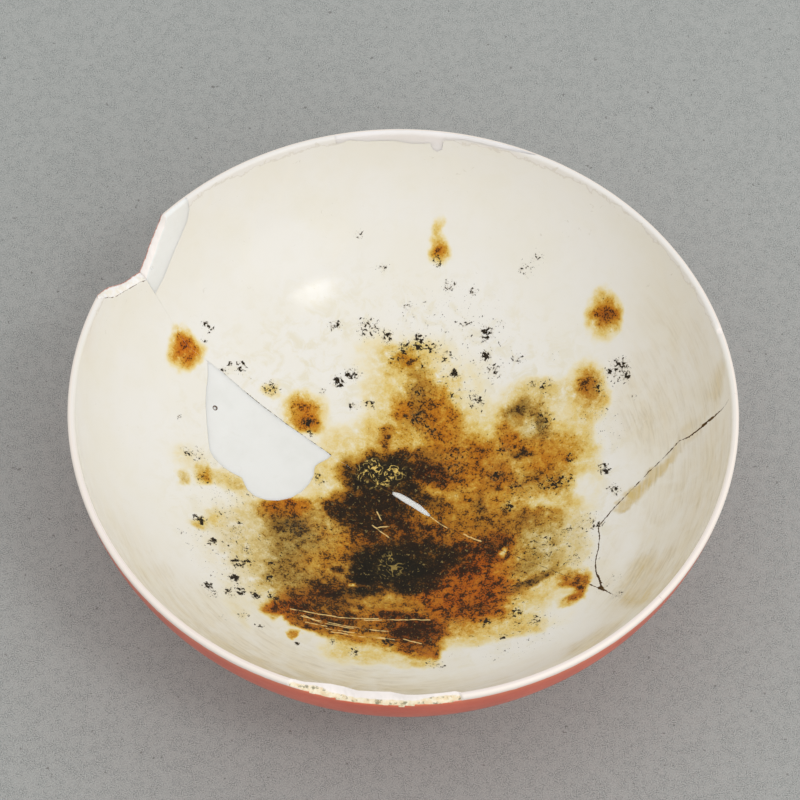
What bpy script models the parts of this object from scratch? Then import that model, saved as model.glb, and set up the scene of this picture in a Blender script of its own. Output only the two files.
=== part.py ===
"""A mended porcelain tea bowl: three glued sherds and four white fills, one node each.

Metres, +Z up. The origin is on the ground under the middle of the foot ring. Azimuth 0 is +X
and azimuth 90 is +Y, the back of the bowl. The bowl is turned whole, and every piece is then
cut from it along the cracks, so the pieces seat on each other as the broken ones do.
"""

import math

import bmesh
import bpy
from mathutils import Vector

MM = 0.001

# The thrown bowl
RIM_RADIUS = 60.0 * MM
LIP_THICKNESS = 1.3 * MM
LIP_LEAN = math.radians(7.0)
WALL_ARC = 32.6 * MM
FLOOR_SLOPE = math.radians(30.0)
WALL_THICKNESS_AT_FOOT = 3.0 * MM
BASE_THICKNESS = 3.0 * MM

# The foot ring, turned in one with the bowl
FOOT_RADIUS = 23.5 * MM
FOOT_TAPER = 0.7 * MM
FOOT_WALL_TOP = 3.9 * MM
FOOT_WALL_BOTTOM = 2.8 * MM
FOOT_CHAMFER = 0.5 * MM
FOOT_RECESS = 4.2 * MM
FOOT_RECESS_RISE = 1.0 * MM

# How finely the bowl is turned
TURNS = 84
FLOOR_STEPS = 8
WALL_STEPS = 11
LIP_STEPS = 6
OUTSIDE_STEPS = 14
UNDERSIDE_STEPS = 3
SHARP_FROM = math.radians(50)
ON_AXIS = 0.001 * MM

# The room between two pieces that touch
JOINT_GAP = 0.3 * MM

# Every break runs away from one point above the well, which keeps it nearly square to the wall
FOCUS_ABOVE_RIM = 25.0 * MM
CUT_BELOW_GROUND = 10.0 * MM
CUT_BELOW_FOCUS = 2.0 * MM
CUT_PAST_LIP_PERCENT = 8.0
PAST_LIP = 100.0 + CUT_PAST_LIP_PERCENT
RIM_STEP_DEGREES = 30.0
FULL_TURN_DEGREES = 360.0
LEAST_MITRE_RATIO = 0.4

# Lines on the inside: azimuth in degrees, and per cent of the way from the well's centre to the lip
CRACK_TO_STRIP = [(149.0, PAST_LIP), (148.9, 89.3), (148.8, 83.8)]
CRACK_TO_HALF_MOON = [(148.9, 78.7), (150.5, 67.0)]
CRACK_ALONG_HALF_MOON = [(149.6, 60.8), (149.1, 51.7), (149.3, 33.8), (147.6, 30.7), (148.7, 21.0)]
CRACK_ACROSS_WELL = [(150.0, 2.5), (60.0, 0.7), (327.2, 9.2), (324.3, 14.4), (325.2, 20.6)]
CRACK_TO_JUNCTION = [(327.4, 30.2), (326.8, 58.7), (326.3, 62.3)]
CRACK_TO_FRONT_RIM = [(324.6, 68.0), (322.6, 82.0), (319.5, PAST_LIP)]
SIDE_CRACK = [
    (3.0, PAST_LIP),
    (3.2, 94.1),
    (3.8, 85.8),
    (4.0, 74.6),
    (2.0, 69.5),
    (357.5, 61.9),
    (345.5, 52.5),
    (338.0, 54.8),
    (330.9, 57.6),
]
HALF_MOON_SWEEP = [
    (152.3, 21.3),
    (161.7, 23.2),
    (168.2, 22.7),
    (181.0, 25.1),
    (187.7, 31.1),
    (187.8, 34.5),
    (184.2, 39.2),
    (179.4, 40.8),
    (177.2, 45.8),
    (172.5, 50.4),
    (164.9, 52.9),
    (155.9, 57.1),
]
STRIP_EDGE = [(145.5, 85.1), (141.5, 88.3), (137.3, 92.3), (134.7, 97.3), (134.5, PAST_LIP)]
SLIVER = [
    (150.0, 2.6),
    (174.0, 0.8),
    (290.0, 0.8),
    (314.6, 1.9),
    (322.5, 4.4),
    (323.6, 9.0),
    (327.2, 9.4),
    (335.7, 6.8),
    (349.9, 3.2),
    (41.3, 1.5),
    (101.5, 1.6),
    (137.4, 2.8),
]
BACK_RIM_BAND = [
    (104.3, PAST_LIP),
    (104.0, 98.4),
    (98.0, 97.9),
    (90.2, 97.1),
    (86.8, 97.3),
    (85.2, 94.7),
    (83.8, 97.6),
    (76.0, 98.4),
    (67.0, 99.0),
    (66.7, PAST_LIP),
]

# The missing chip at the left back, whose faces rise outwards
CHIP = [
    (148.9, 89.3),
    (145.0, 93.0),
    (142.7, 95.5),
    (140.1, 99.0),
    (139.0, PAST_LIP),
    (161.5, PAST_LIP),
    (160.3, 97.3),
    (156.7, 94.6),
    (153.5, 92.4),
]
CHIP_AZIMUTH = math.radians(149.0)
CHIP_RISE = math.radians(20.0)
CHIP_REACH_IN = 6.0 * MM
CHIP_REACH_OUT = 8.0 * MM

# The flake lost from the front lip: azimuth, and how far it drops down the outside
FLAKE = [
    (251.7, 0.4 * MM),
    (255.0, 0.9 * MM),
    (259.5, 1.2 * MM),
    (262.0, 1.7 * MM),
    (267.7, 1.8 * MM),
    (270.7, 2.0 * MM),
    (275.5, 1.2 * MM),
    (279.5, 1.2 * MM),
    (280.8, 0.4 * MM),
]
FLAKE_TOP_DROP = 0.15 * MM
FLAKE_CLEARANCE = 2.0 * MM

# Colours, as linear red, green and blue
CREAM_GLAZE = (0.80, 0.75, 0.64, 1.0)
CORAL_ENAMEL = (0.53, 0.13, 0.09, 1.0)
WHITE_FILL = (0.81, 0.82, 0.79, 1.0)
GLAZE_ROUGHNESS = 0.12
ENAMEL_ROUGHNESS = 0.3
FILL_ROUGHNESS = 0.35

# What follows from the sizes above
LIP_ROUND = LIP_THICKNESS / 2
LIP_SLOPE = math.pi / 2 - LIP_LEAN
INSIDE_LIP_RADIUS = RIM_RADIUS - LIP_THICKNESS
WALL_CENTRE_RADIUS = INSIDE_LIP_RADIUS - WALL_ARC * math.sin(LIP_SLOPE)
FLOOR_EDGE_RADIUS = WALL_CENTRE_RADIUS + WALL_ARC * math.sin(FLOOR_SLOPE)
FLOOR_ARC = FLOOR_EDGE_RADIUS / math.sin(FLOOR_SLOPE)
WELL_HEIGHT = FOOT_RECESS + BASE_THICKNESS
FLOOR_EDGE_HEIGHT = WELL_HEIGHT + FLOOR_ARC * (1 - math.cos(FLOOR_SLOPE))
WALL_CENTRE_HEIGHT = FLOOR_EDGE_HEIGHT + WALL_ARC * math.cos(FLOOR_SLOPE)
INSIDE_LIP_HEIGHT = WALL_CENTRE_HEIGHT - WALL_ARC * math.cos(LIP_SLOPE)
RIM_HEIGHT = INSIDE_LIP_HEIGHT + LIP_ROUND * (1 - math.cos(LIP_SLOPE))
FLOOR_LENGTH = FLOOR_ARC * FLOOR_SLOPE
WALL_LENGTH = WALL_ARC * (LIP_SLOPE - FLOOR_SLOPE)
FOCUS = Vector((0.0, 0.0, RIM_HEIGHT + FOCUS_ABOVE_RIM))


def inside(slope):
    """Radius and height of the inside where it has this slope."""
    if slope <= FLOOR_SLOPE:
        return FLOOR_ARC * math.sin(slope), WELL_HEIGHT + FLOOR_ARC * (1 - math.cos(slope))
    radius = WALL_CENTRE_RADIUS + WALL_ARC * math.sin(slope)
    return radius, WALL_CENTRE_HEIGHT - WALL_ARC * math.cos(slope)


def foot_slope():
    """Slope of the inside where the outside, square across the wall, meets the foot ring."""
    radius = FOOT_RADIUS / (1 + WALL_THICKNESS_AT_FOOT / FLOOR_ARC)
    return math.asin(radius / FLOOR_ARC)


def outside(slope):
    """Radius and height of the outside, square across the wall from the inside of this slope."""
    share = (LIP_SLOPE - slope) / (LIP_SLOPE - foot_slope())
    thickness = LIP_THICKNESS + share * (WALL_THICKNESS_AT_FOOT - LIP_THICKNESS)
    radius, height = inside(slope)
    return radius + thickness * math.sin(slope), height - thickness * math.cos(slope)


def steps(start, end, count):
    """Evenly spaced values from start to end, both among them."""
    return [start + (end - start) * i / count for i in range(count + 1)]


def lip_profile():
    """The rounded lip, from the inside over the top to the outside."""
    inner = Vector(inside(LIP_SLOPE))
    outer = Vector(outside(LIP_SLOPE))
    middle = (inner + outer) / 2
    across = (outer - inner) / 2
    along = Vector((-across.y, across.x))
    turns = steps(math.pi, 0.0, LIP_STEPS)[1:-1]
    return [tuple(middle + across * math.cos(t) + along * math.sin(t)) for t in turns]


def foot_profile():
    """The foot ring down its outer side, across its flat edge and up its inner side."""
    low_outer = FOOT_RADIUS - FOOT_TAPER
    low_inner = low_outer - FOOT_WALL_BOTTOM
    top_inner = FOOT_RADIUS - FOOT_WALL_TOP
    return [
        (low_outer, FOOT_CHAMFER),
        (low_outer - FOOT_CHAMFER, 0.0),
        (low_inner + FOOT_CHAMFER, 0.0),
        (low_inner, FOOT_CHAMFER),
        (top_inner, FOOT_RECESS + FOOT_RECESS_RISE),
    ]


def underside_profile():
    """The underside within the foot ring, a shallow dome that hangs lowest in the middle."""
    edge = FOOT_RADIUS - FOOT_WALL_TOP
    shares = steps(1.0, 0.0, UNDERSIDE_STEPS)[1:]
    return [(edge * s, FOOT_RECESS + FOOT_RECESS_RISE * s * s) for s in shares]


def bowl_profile():
    """Radius and height from the well's centre up the inside and down the outside to the middle."""
    floor = [inside(s) for s in steps(0.0, FLOOR_SLOPE, FLOOR_STEPS)]
    wall = [inside(s) for s in steps(FLOOR_SLOPE, LIP_SLOPE, WALL_STEPS)[1:]]
    outer = [outside(s) for s in steps(LIP_SLOPE, foot_slope(), OUTSIDE_STEPS)]
    return floor + wall + lip_profile() + outer + foot_profile() + underside_profile()


def whole_bowl():
    """The bowl before it broke, with the coral enamel on its outside as material 1."""
    profile = bowl_profile()
    first_outer = FLOOR_STEPS + WALL_STEPS + LIP_STEPS
    last_outer = first_outer + OUTSIDE_STEPS
    bm = bmesh.new()
    rings = []
    for radius, height in profile:
        if radius < ON_AXIS:
            rings.append([bm.verts.new((0.0, 0.0, height))])
            continue
        turn = [2 * math.pi * i / TURNS for i in range(TURNS)]
        rings.append([bm.verts.new((radius * math.cos(a), radius * math.sin(a), height)) for a in turn])
    for step, (ring, following) in enumerate(zip(rings, rings[1:])):
        for i in range(TURNS):
            j = (i + 1) % TURNS
            corners = [ring[i % len(ring)], ring[j % len(ring)]]
            corners += [following[j % len(following)], following[i % len(following)]]
            face = bm.faces.new(list(dict.fromkeys(corners)))
            face.smooth = True
            face.material_index = int(first_outer <= step < last_outer)
    mesh = bpy.data.meshes.new("whole_bowl")
    bmesh.ops.recalc_face_normals(bm, faces=bm.faces)
    bm.to_mesh(mesh)
    bm.free()
    mesh.set_sharp_from_angle(angle=SHARP_FROM)
    return mesh


def on_inside(azimuth, way):
    """The point of the inside at this azimuth and this per cent of the way to the lip."""
    length = (FLOOR_LENGTH + WALL_LENGTH) * way / 100
    if length <= FLOOR_LENGTH:
        radius, height = inside(length / FLOOR_ARC)
    else:
        slope = FLOOR_SLOPE + (length - FLOOR_LENGTH) / WALL_ARC
        radius, height = inside(min(slope, LIP_SLOPE))
        beyond = max(0.0, length - FLOOR_LENGTH - WALL_LENGTH)
        radius += beyond * math.cos(LIP_SLOPE)
        height += beyond * math.sin(LIP_SLOPE)
    turn = math.radians(azimuth)
    return Vector((radius * math.cos(turn), radius * math.sin(turn), height))


def moved_in(points, distance):
    """A closed line on the inside, drawn counter-clockwise from above, moved in by this distance."""
    moved = []
    for i, point in enumerate(points):
        away = (point - FOCUS).normalized()
        before = (point - points[i - 1]).normalized()
        after = (points[(i + 1) % len(points)] - point).normalized()
        inward = [edge.cross(away).normalized() for edge in (before, after)]
        middle = (inward[0] + inward[1]).normalized()
        moved.append(point + middle * distance / max(middle.dot(inward[0]), LEAST_MITRE_RATIO))
    return moved


def at_height(point, height):
    """Where the line from the focus through this point has this height."""
    return FOCUS + (point - FOCUS) * (FOCUS.z - height) / (FOCUS.z - point.z)


def solid_between(name, ring, other_ring):
    """A closed cutter with flat ends, from two rings of as many points."""
    bm = bmesh.new()
    first = [bm.verts.new(p) for p in ring]
    second = [bm.verts.new(p) for p in other_ring]
    bm.faces.new(first)
    bm.faces.new(second[::-1])
    for i in range(len(first)):
        j = (i + 1) % len(first)
        bm.faces.new([first[j], first[i], second[i], second[j]])
    return cutter(name, bm)


def cutter(name, bm):
    """An object that only cuts, and isn't part of the bowl."""
    bmesh.ops.triangulate(bm, faces=bm.faces)
    bmesh.ops.recalc_face_normals(bm, faces=bm.faces)
    mesh = bpy.data.meshes.new(name)
    bm.to_mesh(mesh)
    bm.free()
    shape = bpy.data.objects.new(name, mesh)
    bpy.context.scene.collection.objects.link(shape)
    shape.hide_render = True
    shape.display_type = "WIRE"
    return shape


def cone_of(name, line, distance):
    """Everything that a closed line on the inside frames from the focus, moved in by a distance."""
    edge = moved_in([on_inside(*p) for p in line], distance)
    high = [at_height(p, FOCUS.z - CUT_BELOW_FOCUS) for p in edge]
    low = [at_height(p, -CUT_BELOW_GROUND) for p in edge]
    return solid_between(name, high, low)


def rim_points(start, end):
    """Points past the lip between two azimuths, counter-clockwise, without the two ends."""
    turn = (end - start) % FULL_TURN_DEGREES
    count = math.ceil(turn / RIM_STEP_DEGREES)
    return [(azimuth, PAST_LIP) for azimuth in steps(start, start + turn, count)[1:-1]]


def chip_cutter():
    """What is missing at the left back of the rim."""
    level = Vector((math.cos(CHIP_AZIMUTH), math.sin(CHIP_AZIMUTH), 0.0))
    outward = level * math.cos(CHIP_RISE) + Vector((0.0, 0.0, math.sin(CHIP_RISE)))
    line = [on_inside(*p) for p in CHIP]
    near = [p - outward * CHIP_REACH_IN for p in line]
    far = [p + outward * CHIP_REACH_OUT for p in line]
    return solid_between("missing_chip", near, far)


def flake_cutter():
    """What is missing from the front lip: its top and the outer side, down to an uneven edge."""
    outer = RIM_RADIUS + FLAKE_CLEARANCE
    top = RIM_HEIGHT + FLAKE_CLEARANCE
    bm = bmesh.new()
    rings = []
    for azimuth, drop in FLAKE:
        turn = math.radians(azimuth)
        section = [
            (INSIDE_LIP_RADIUS, RIM_HEIGHT - FLAKE_TOP_DROP),
            (RIM_RADIUS, RIM_HEIGHT - drop),
            (outer, RIM_HEIGHT - drop),
            (outer, top),
            (INSIDE_LIP_RADIUS, top),
        ]
        rings.append([bm.verts.new((r * math.cos(turn), r * math.sin(turn), z)) for r, z in section])
    bm.faces.new(rings[0])
    bm.faces.new(rings[-1][::-1])
    for ring, following in zip(rings, rings[1:]):
        for i in range(len(ring)):
            j = (i + 1) % len(ring)
            bm.faces.new([ring[j], ring[i], following[i], following[j]])
    return cutter("missing_flake", bm)


def material(name, colour, roughness):
    """A plain glossy surface of this colour."""
    made = bpy.data.materials.new(name)
    made.use_nodes = True
    shader = made.node_tree.nodes["Principled BSDF"]
    shader.inputs["Base Color"].default_value = colour
    shader.inputs["Roughness"].default_value = roughness
    shader.inputs["Metallic"].default_value = 0.0
    return made


def piece(name, bowl, keep, losses, surfaces):
    """One piece of the bowl: what the cutter keeps of it, without what the losses take away."""
    shape = bpy.data.objects.new(name, bowl.copy())
    shape.data.name = name
    bpy.context.scene.collection.objects.link(shape)
    for surface in surfaces:
        shape.data.materials.append(surface)
    for operation, cuts in (("INTERSECT", [keep]), ("DIFFERENCE", losses)):
        for cut in cuts:
            modifier = shape.modifiers.new(cut.name, "BOOLEAN")
            modifier.operation = operation
            modifier.solver = "EXACT"
            modifier.object = cut
    return shape


def main():
    for old in list(bpy.data.objects):
        bpy.data.objects.remove(old)

    bowl = whole_bowl()
    half = JOINT_GAP / 2
    along_moon = CRACK_ALONG_HALF_MOON
    to_junction = CRACK_TO_STRIP + CRACK_TO_HALF_MOON + along_moon + CRACK_ACROSS_WELL + CRACK_TO_JUNCTION
    whole_crack = to_junction + CRACK_TO_FRONT_RIM
    junction = CRACK_TO_JUNCTION[-1:]
    chip_end, front_end, side_end = whole_crack[0][0], whole_crack[-1][0], SIDE_CRACK[0][0]

    back = rim_points(side_end, chip_end) + to_junction + SIDE_CRACK[::-1]
    front = rim_points(chip_end, front_end) + whole_crack[::-1]
    right = rim_points(front_end, side_end) + SIDE_CRACK + junction + CRACK_TO_FRONT_RIM
    half_moon = HALF_MOON_SWEEP[::-1] + along_moon[::-1]
    strip = CRACK_TO_STRIP + STRIP_EDGE

    chip = chip_cutter()
    flake = flake_cutter()
    strip_seat = cone_of("strip_seat", strip, -half)
    moon_seat = cone_of("half_moon_seat", half_moon, -half)
    sliver_seat = cone_of("sliver_seat", SLIVER, -half)
    band_seat = cone_of("back_rim_seat", BACK_RIM_BAND, -half)

    cream = material("cream_glaze", CREAM_GLAZE, GLAZE_ROUGHNESS)
    coral = material("coral_enamel", CORAL_ENAMEL, ENAMEL_ROUGHNESS)
    white = material("white_fill", WHITE_FILL, FILL_ROUGHNESS)
    glazed = [cream, coral]
    filled = [white, white]

    back_losses = [chip, strip_seat, sliver_seat, band_seat]
    front_losses = [chip, flake, moon_seat, sliver_seat]
    piece("back_sherd", bowl, cone_of("back_part", back, half), back_losses, glazed)
    piece("front_sherd", bowl, cone_of("front_part", front, half), front_losses, glazed)
    piece("right_sherd", bowl, cone_of("right_part", right, half), [], glazed)
    piece("half_moon_fill", bowl, cone_of("half_moon_part", half_moon, half), [], filled)
    piece("chip_edge_fill", bowl, cone_of("strip_part", strip, half), [chip], filled)
    piece("well_sliver_fill", bowl, cone_of("sliver_part", SLIVER, half), [], filled)
    piece("back_rim_fill", bowl, cone_of("back_rim_part", BACK_RIM_BAND, half), [], filled)


main()
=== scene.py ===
import math

import bpy
import numpy as np
from mathutils import Matrix, Vector
from mathutils.geometry import delaunay_2d_cdt
from mathutils.kdtree import KDTree


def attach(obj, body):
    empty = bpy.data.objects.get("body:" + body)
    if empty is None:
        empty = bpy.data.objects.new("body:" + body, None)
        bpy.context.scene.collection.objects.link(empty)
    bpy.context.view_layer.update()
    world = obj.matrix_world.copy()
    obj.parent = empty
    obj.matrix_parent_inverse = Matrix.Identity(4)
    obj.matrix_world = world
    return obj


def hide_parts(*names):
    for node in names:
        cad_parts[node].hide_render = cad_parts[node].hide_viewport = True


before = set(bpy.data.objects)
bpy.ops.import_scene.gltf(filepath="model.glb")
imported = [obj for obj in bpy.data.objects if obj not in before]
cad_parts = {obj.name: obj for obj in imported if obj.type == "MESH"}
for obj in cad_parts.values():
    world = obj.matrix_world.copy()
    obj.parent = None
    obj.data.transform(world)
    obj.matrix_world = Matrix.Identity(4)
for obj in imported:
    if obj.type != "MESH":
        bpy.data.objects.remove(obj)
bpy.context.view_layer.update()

MM = 0.001

# The bowl's sizes in millimetres, the same as in the CAD
RIM_RADIUS = 60.0
LIP_THICKNESS = 1.3
LIP_LEAN = math.radians(7.0)
WALL_ARC = 32.6
FLOOR_SLOPE = math.radians(30.0)
WALL_THICKNESS_AT_FOOT = 3.0
BASE_THICKNESS = 3.0
FOOT_RADIUS = 23.5
FOOT_TAPER = 0.7
FOOT_WALL_TOP = 3.9
FOOT_WALL_BOTTOM = 2.8
FOOT_CHAMFER = 0.5
FOOT_RECESS = 4.2
FOOT_RECESS_RISE = 1.0

# What follows from them
LIP_ROUND = LIP_THICKNESS / 2
LIP_SLOPE = math.pi / 2 - LIP_LEAN
INSIDE_LIP_RADIUS = RIM_RADIUS - LIP_THICKNESS
WALL_CENTRE_RADIUS = INSIDE_LIP_RADIUS - WALL_ARC * math.sin(LIP_SLOPE)
FLOOR_ARC = (WALL_CENTRE_RADIUS + WALL_ARC * math.sin(FLOOR_SLOPE)) / math.sin(FLOOR_SLOPE)
WELL_HEIGHT = FOOT_RECESS + BASE_THICKNESS
FLOOR_CENTRE_HEIGHT = WELL_HEIGHT + FLOOR_ARC
WALL_CENTRE_HEIGHT = FLOOR_CENTRE_HEIGHT - (FLOOR_ARC - WALL_ARC) * math.cos(FLOOR_SLOPE)
INSIDE_LIP_HEIGHT = WALL_CENTRE_HEIGHT - WALL_ARC * math.cos(LIP_SLOPE)
RIM_HEIGHT = INSIDE_LIP_HEIGHT + LIP_ROUND * (1 - math.cos(LIP_SLOPE))
FLOOR_LENGTH = FLOOR_ARC * FLOOR_SLOPE
REACH = FLOOR_LENGTH + WALL_ARC * (LIP_SLOPE - FLOOR_SLOPE)
TOP = REACH + LIP_ROUND * math.pi / 2
FOOT_SLOPE = math.asin(FOOT_RADIUS / (1 + WALL_THICKNESS_AT_FOOT / FLOOR_ARC) / FLOOR_ARC)

# The photograph's camera, which looks at the middle of the rim
PICTURE = 800
FOCAL_PIXELS = 3021.0
CAMERA_DISTANCE = 540.0
CAMERA_ELEVATION = math.radians(58.44)
CAMERA_YAW = math.radians(-0.07)
CAMERA_PITCH = math.radians(-0.04)
CAMERA_ROLL = math.radians(1.81)


def turned(a, b, angle):
    """Two square directions, turned in their own plane."""
    return a * math.cos(angle) + b * math.sin(angle), b * math.cos(angle) - a * math.sin(angle)


def camera_axes():
    """The camera's place in millimetres, and its forward, right and up directions."""
    back = np.array([0.0, -math.cos(CAMERA_ELEVATION), math.sin(CAMERA_ELEVATION)])
    right = np.array([1.0, 0.0, 0.0])
    forward = -back
    up = np.cross(right, forward)
    forward, right = turned(forward, right, CAMERA_YAW)
    forward, up = turned(forward, up, CAMERA_PITCH)
    right, up = turned(right, up, CAMERA_ROLL)
    return back * CAMERA_DISTANCE + [0.0, 0.0, RIM_HEIGHT], forward, right, up


EYE, FORWARD, RIGHT, UP = camera_axes()


# The bowl laid flat: a point's distance from the middle is its distance from the well's centre
# along the inside, up to the top of the lip at TOP


def thickness(slope):
    """The wall's thickness where the inside has this slope."""
    share = (LIP_SLOPE - slope) / (LIP_SLOPE - FOOT_SLOPE)
    return LIP_THICKNESS + share * (WALL_THICKNESS_AT_FOOT - LIP_THICKNESS)


def slope_at(rho):
    """Slope of the inside at a distance from the well's centre."""
    wall = FLOOR_SLOPE + (rho - FLOOR_LENGTH) / WALL_ARC
    return np.minimum(np.where(rho < FLOOR_LENGTH, rho / FLOOR_ARC, wall), LIP_SLOPE)


def inside_at(slope):
    """Radius and height of the inside where it has this slope."""
    floor = slope < FLOOR_SLOPE
    radius = np.where(floor, FLOOR_ARC * np.sin(slope), WALL_CENTRE_RADIUS + WALL_ARC * np.sin(slope))
    height = np.where(floor, FLOOR_CENTRE_HEIGHT - FLOOR_ARC * np.cos(slope),
                      WALL_CENTRE_HEIGHT - WALL_ARC * np.cos(slope))
    return radius, height


def lip_at(rho, side):
    """Radius and height of the rounded lip, on the inside for side -1 and on the outside for 1."""
    turn = np.clip((TOP - rho) / LIP_ROUND, 0.0, math.pi / 2)
    middle = np.array(inside_at(np.float64(LIP_SLOPE)))
    middle = middle + LIP_ROUND * np.array([math.sin(LIP_SLOPE), -math.cos(LIP_SLOPE)])
    across = side * LIP_ROUND * np.sin(turn)
    along = LIP_ROUND * np.cos(turn)
    radius = middle[0] + across * math.sin(LIP_SLOPE) + along * math.cos(LIP_SLOPE)
    height = middle[1] - across * math.cos(LIP_SLOPE) + along * math.sin(LIP_SLOPE)
    return radius, height


def upper_profile(rho):
    """Radius and height of the inside and of the lip's inner half."""
    radius, height = inside_at(slope_at(rho))
    lip = lip_at(rho, -1)
    beyond = rho > REACH
    return np.where(beyond, lip[0], radius), np.where(beyond, lip[1], height)


FOOT_LENGTH = FLOOR_ARC * FOOT_SLOPE
LOW_OUTER = FOOT_RADIUS - FOOT_TAPER
LOW_INNER = LOW_OUTER - FOOT_WALL_BOTTOM
RECESS_RADIUS = FOOT_RADIUS - FOOT_WALL_TOP
RECESS_LENGTH = RECESS_RADIUS
FOOT_TOP_RADIUS, FOOT_TOP_HEIGHT = (float(v) for v in inside_at(np.float64(FOOT_SLOPE)))
FOOT_TOP_RADIUS += WALL_THICKNESS_AT_FOOT * math.sin(FOOT_SLOPE)
FOOT_TOP_HEIGHT -= WALL_THICKNESS_AT_FOOT * math.cos(FOOT_SLOPE)

# The foot ring from its inner side to its outer side: flat distance, radius, height
FOOT_RING = [
    (RECESS_LENGTH, RECESS_RADIUS, FOOT_RECESS + FOOT_RECESS_RISE),
    (RECESS_LENGTH + 1.0, LOW_INNER, FOOT_CHAMFER),
    (RECESS_LENGTH + 1.25, LOW_INNER + FOOT_CHAMFER, 0.0),
    (FOOT_LENGTH - 1.3, LOW_OUTER - FOOT_CHAMFER, 0.0),
    (FOOT_LENGTH - 1.05, LOW_OUTER, FOOT_CHAMFER),
    (FOOT_LENGTH, FOOT_TOP_RADIUS, FOOT_TOP_HEIGHT),
]


def lower_profile(rho):
    """Radius and height of the lip's outer half, the outside, the foot ring and the underside."""
    slope = slope_at(rho)
    radius, height = inside_at(slope)
    through = thickness(slope)
    radius = radius + through * np.sin(slope)
    height = height - through * np.cos(slope)
    lip = lip_at(rho, 1)
    knots = np.array(FOOT_RING)
    foot = rho < FOOT_LENGTH
    radius = np.where(foot, np.interp(rho, knots[:, 0], knots[:, 1]), radius)
    height = np.where(foot, np.interp(rho, knots[:, 0], knots[:, 2]), height)
    recess = rho < RECESS_LENGTH
    radius = np.where(recess, rho * RECESS_RADIUS / RECESS_LENGTH, radius)
    dome = FOOT_RECESS + FOOT_RECESS_RISE * (rho / RECESS_LENGTH) ** 2
    height = np.where(recess, dome, height)
    beyond = rho > REACH
    return np.where(beyond, lip[0], radius), np.where(beyond, lip[1], height)


def polar(flat):
    """Distance from the middle and azimuth of points laid flat."""
    return np.hypot(flat[:, 0], flat[:, 1]), np.arctan2(flat[:, 1], flat[:, 0])


def flat_at(rho, azimuth):
    """Points laid flat at these distances and azimuths."""
    return np.stack([rho * np.cos(azimuth), rho * np.sin(azimuth)], 1)


def in_space(radius, azimuth, height):
    """Points in space at these radii, azimuths and heights."""
    return np.column_stack([flat_at(radius, azimuth), height])


def inward(flat):
    """The direction from the wall into the bowl, square to the inside."""
    rho, azimuth = polar(flat)
    slope = slope_at(rho)
    return in_space(-np.sin(slope), azimuth, np.cos(slope))


# From pixels of the photograph to the bowl laid flat, along rays of these lengths from the camera

RAY_FROM = 430.0
RAY_TO = 660.0
RAY_STEPS = 1400


def depth_and_slope(points):
    """How far points lie behind the inside, and its slope there."""
    radius = np.hypot(points[..., 0], points[..., 1])
    height = points[..., 2]
    wall_slope = np.arctan2(radius - WALL_CENTRE_RADIUS, WALL_CENTRE_HEIGHT - height)
    floor_slope = np.arctan2(radius, FLOOR_CENTRE_HEIGHT - height)
    wall_depth = np.hypot(radius - WALL_CENTRE_RADIUS, WALL_CENTRE_HEIGHT - height) - WALL_ARC
    floor_depth = np.hypot(radius, FLOOR_CENTRE_HEIGHT - height) - FLOOR_ARC
    wall = wall_slope > FLOOR_SLOPE
    return np.where(wall, wall_depth, floor_depth), np.where(wall, wall_slope, floor_slope)


def laid_flat(pixels, outer=False):
    """Where the rays through these pixels meet the inside, or the outside, laid flat."""
    p = np.array(pixels, float)
    across = p[:, :1] - PICTURE / 2
    down = p[:, 1:] - PICTURE / 2
    aim = FORWARD + RIGHT * across / FOCAL_PIXELS - UP * down / FOCAL_PIXELS
    aim = aim / np.linalg.norm(aim, axis=1)[:, None]
    way = np.linspace(RAY_FROM, RAY_TO, RAY_STEPS)
    points = EYE + way[None, :, None] * aim[:, None, :]
    depth, slope = depth_and_slope(points)
    if outer:
        depth = depth - thickness(slope)
    low = points[..., 2] < RIM_HEIGHT
    crossing = low[:, :-1] & (depth[:, :-1] * depth[:, 1:] <= 0)
    if not crossing.any(1).all():
        raise ValueError(f"no surface at {p[~crossing.any(1)].tolist()}")
    first = crossing.argmax(1)
    rows = np.arange(len(p))
    before, after = depth[rows, first], depth[rows, first + 1]
    share = before / (before - after)
    hit = points[rows, first] + share[:, None] * (points[rows, first + 1] - points[rows, first])
    slope = np.minimum(depth_and_slope(hit)[1], LIP_SLOPE)
    on_wall = FLOOR_LENGTH + (slope - FLOOR_SLOPE) * WALL_ARC
    return flat_at(np.where(slope < FLOOR_SLOPE, slope * FLOOR_ARC, on_wall), polar(hit)[1])


def on_rim(azimuth):
    """The point of the lip's top at this azimuth in degrees, laid flat."""
    turn = math.radians(azimuth)
    return np.array([[TOP * math.cos(turn), TOP * math.sin(turn)]])


# Noise. Each use of it has a seed of its own

CELLS = 256
FAR_OFF = 4096.0
FINER = 0.5
WEAKER = 0.55
EVENED_OUT = 1.6


def lattice(u, v, size, seed):
    """Smooth noise from -1 to 1 with cells of this size."""
    cells = np.random.default_rng(seed).uniform(-1.0, 1.0, (CELLS, CELLS))
    x = np.asarray(u, float) / size + FAR_OFF
    y = np.asarray(v, float) / size + FAR_OFF
    i = np.floor(x).astype(int)
    j = np.floor(y).astype(int)
    s = x - i
    t = y - j
    s = s * s * (3 - 2 * s)
    t = t * t * (3 - 2 * t)
    a, c = (cells[i % CELLS, k % CELLS] for k in (j, j + 1))
    b, d = (cells[(i + 1) % CELLS, k % CELLS] for k in (j, j + 1))
    return (a * (1 - s) + b * s) * (1 - t) + (c * (1 - s) + d * s) * t


def fractal(u, v, size, seed, octaves=4):
    """Noise from about -1 to 1 with ever smaller cells."""
    total = 0.0
    weight = 1.0
    for octave in range(octaves):
        total = total + weight * lattice(u, v, size, seed + octave)
        size *= FINER
        weight *= WEAKER
    return total / EVENED_OUT


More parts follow.
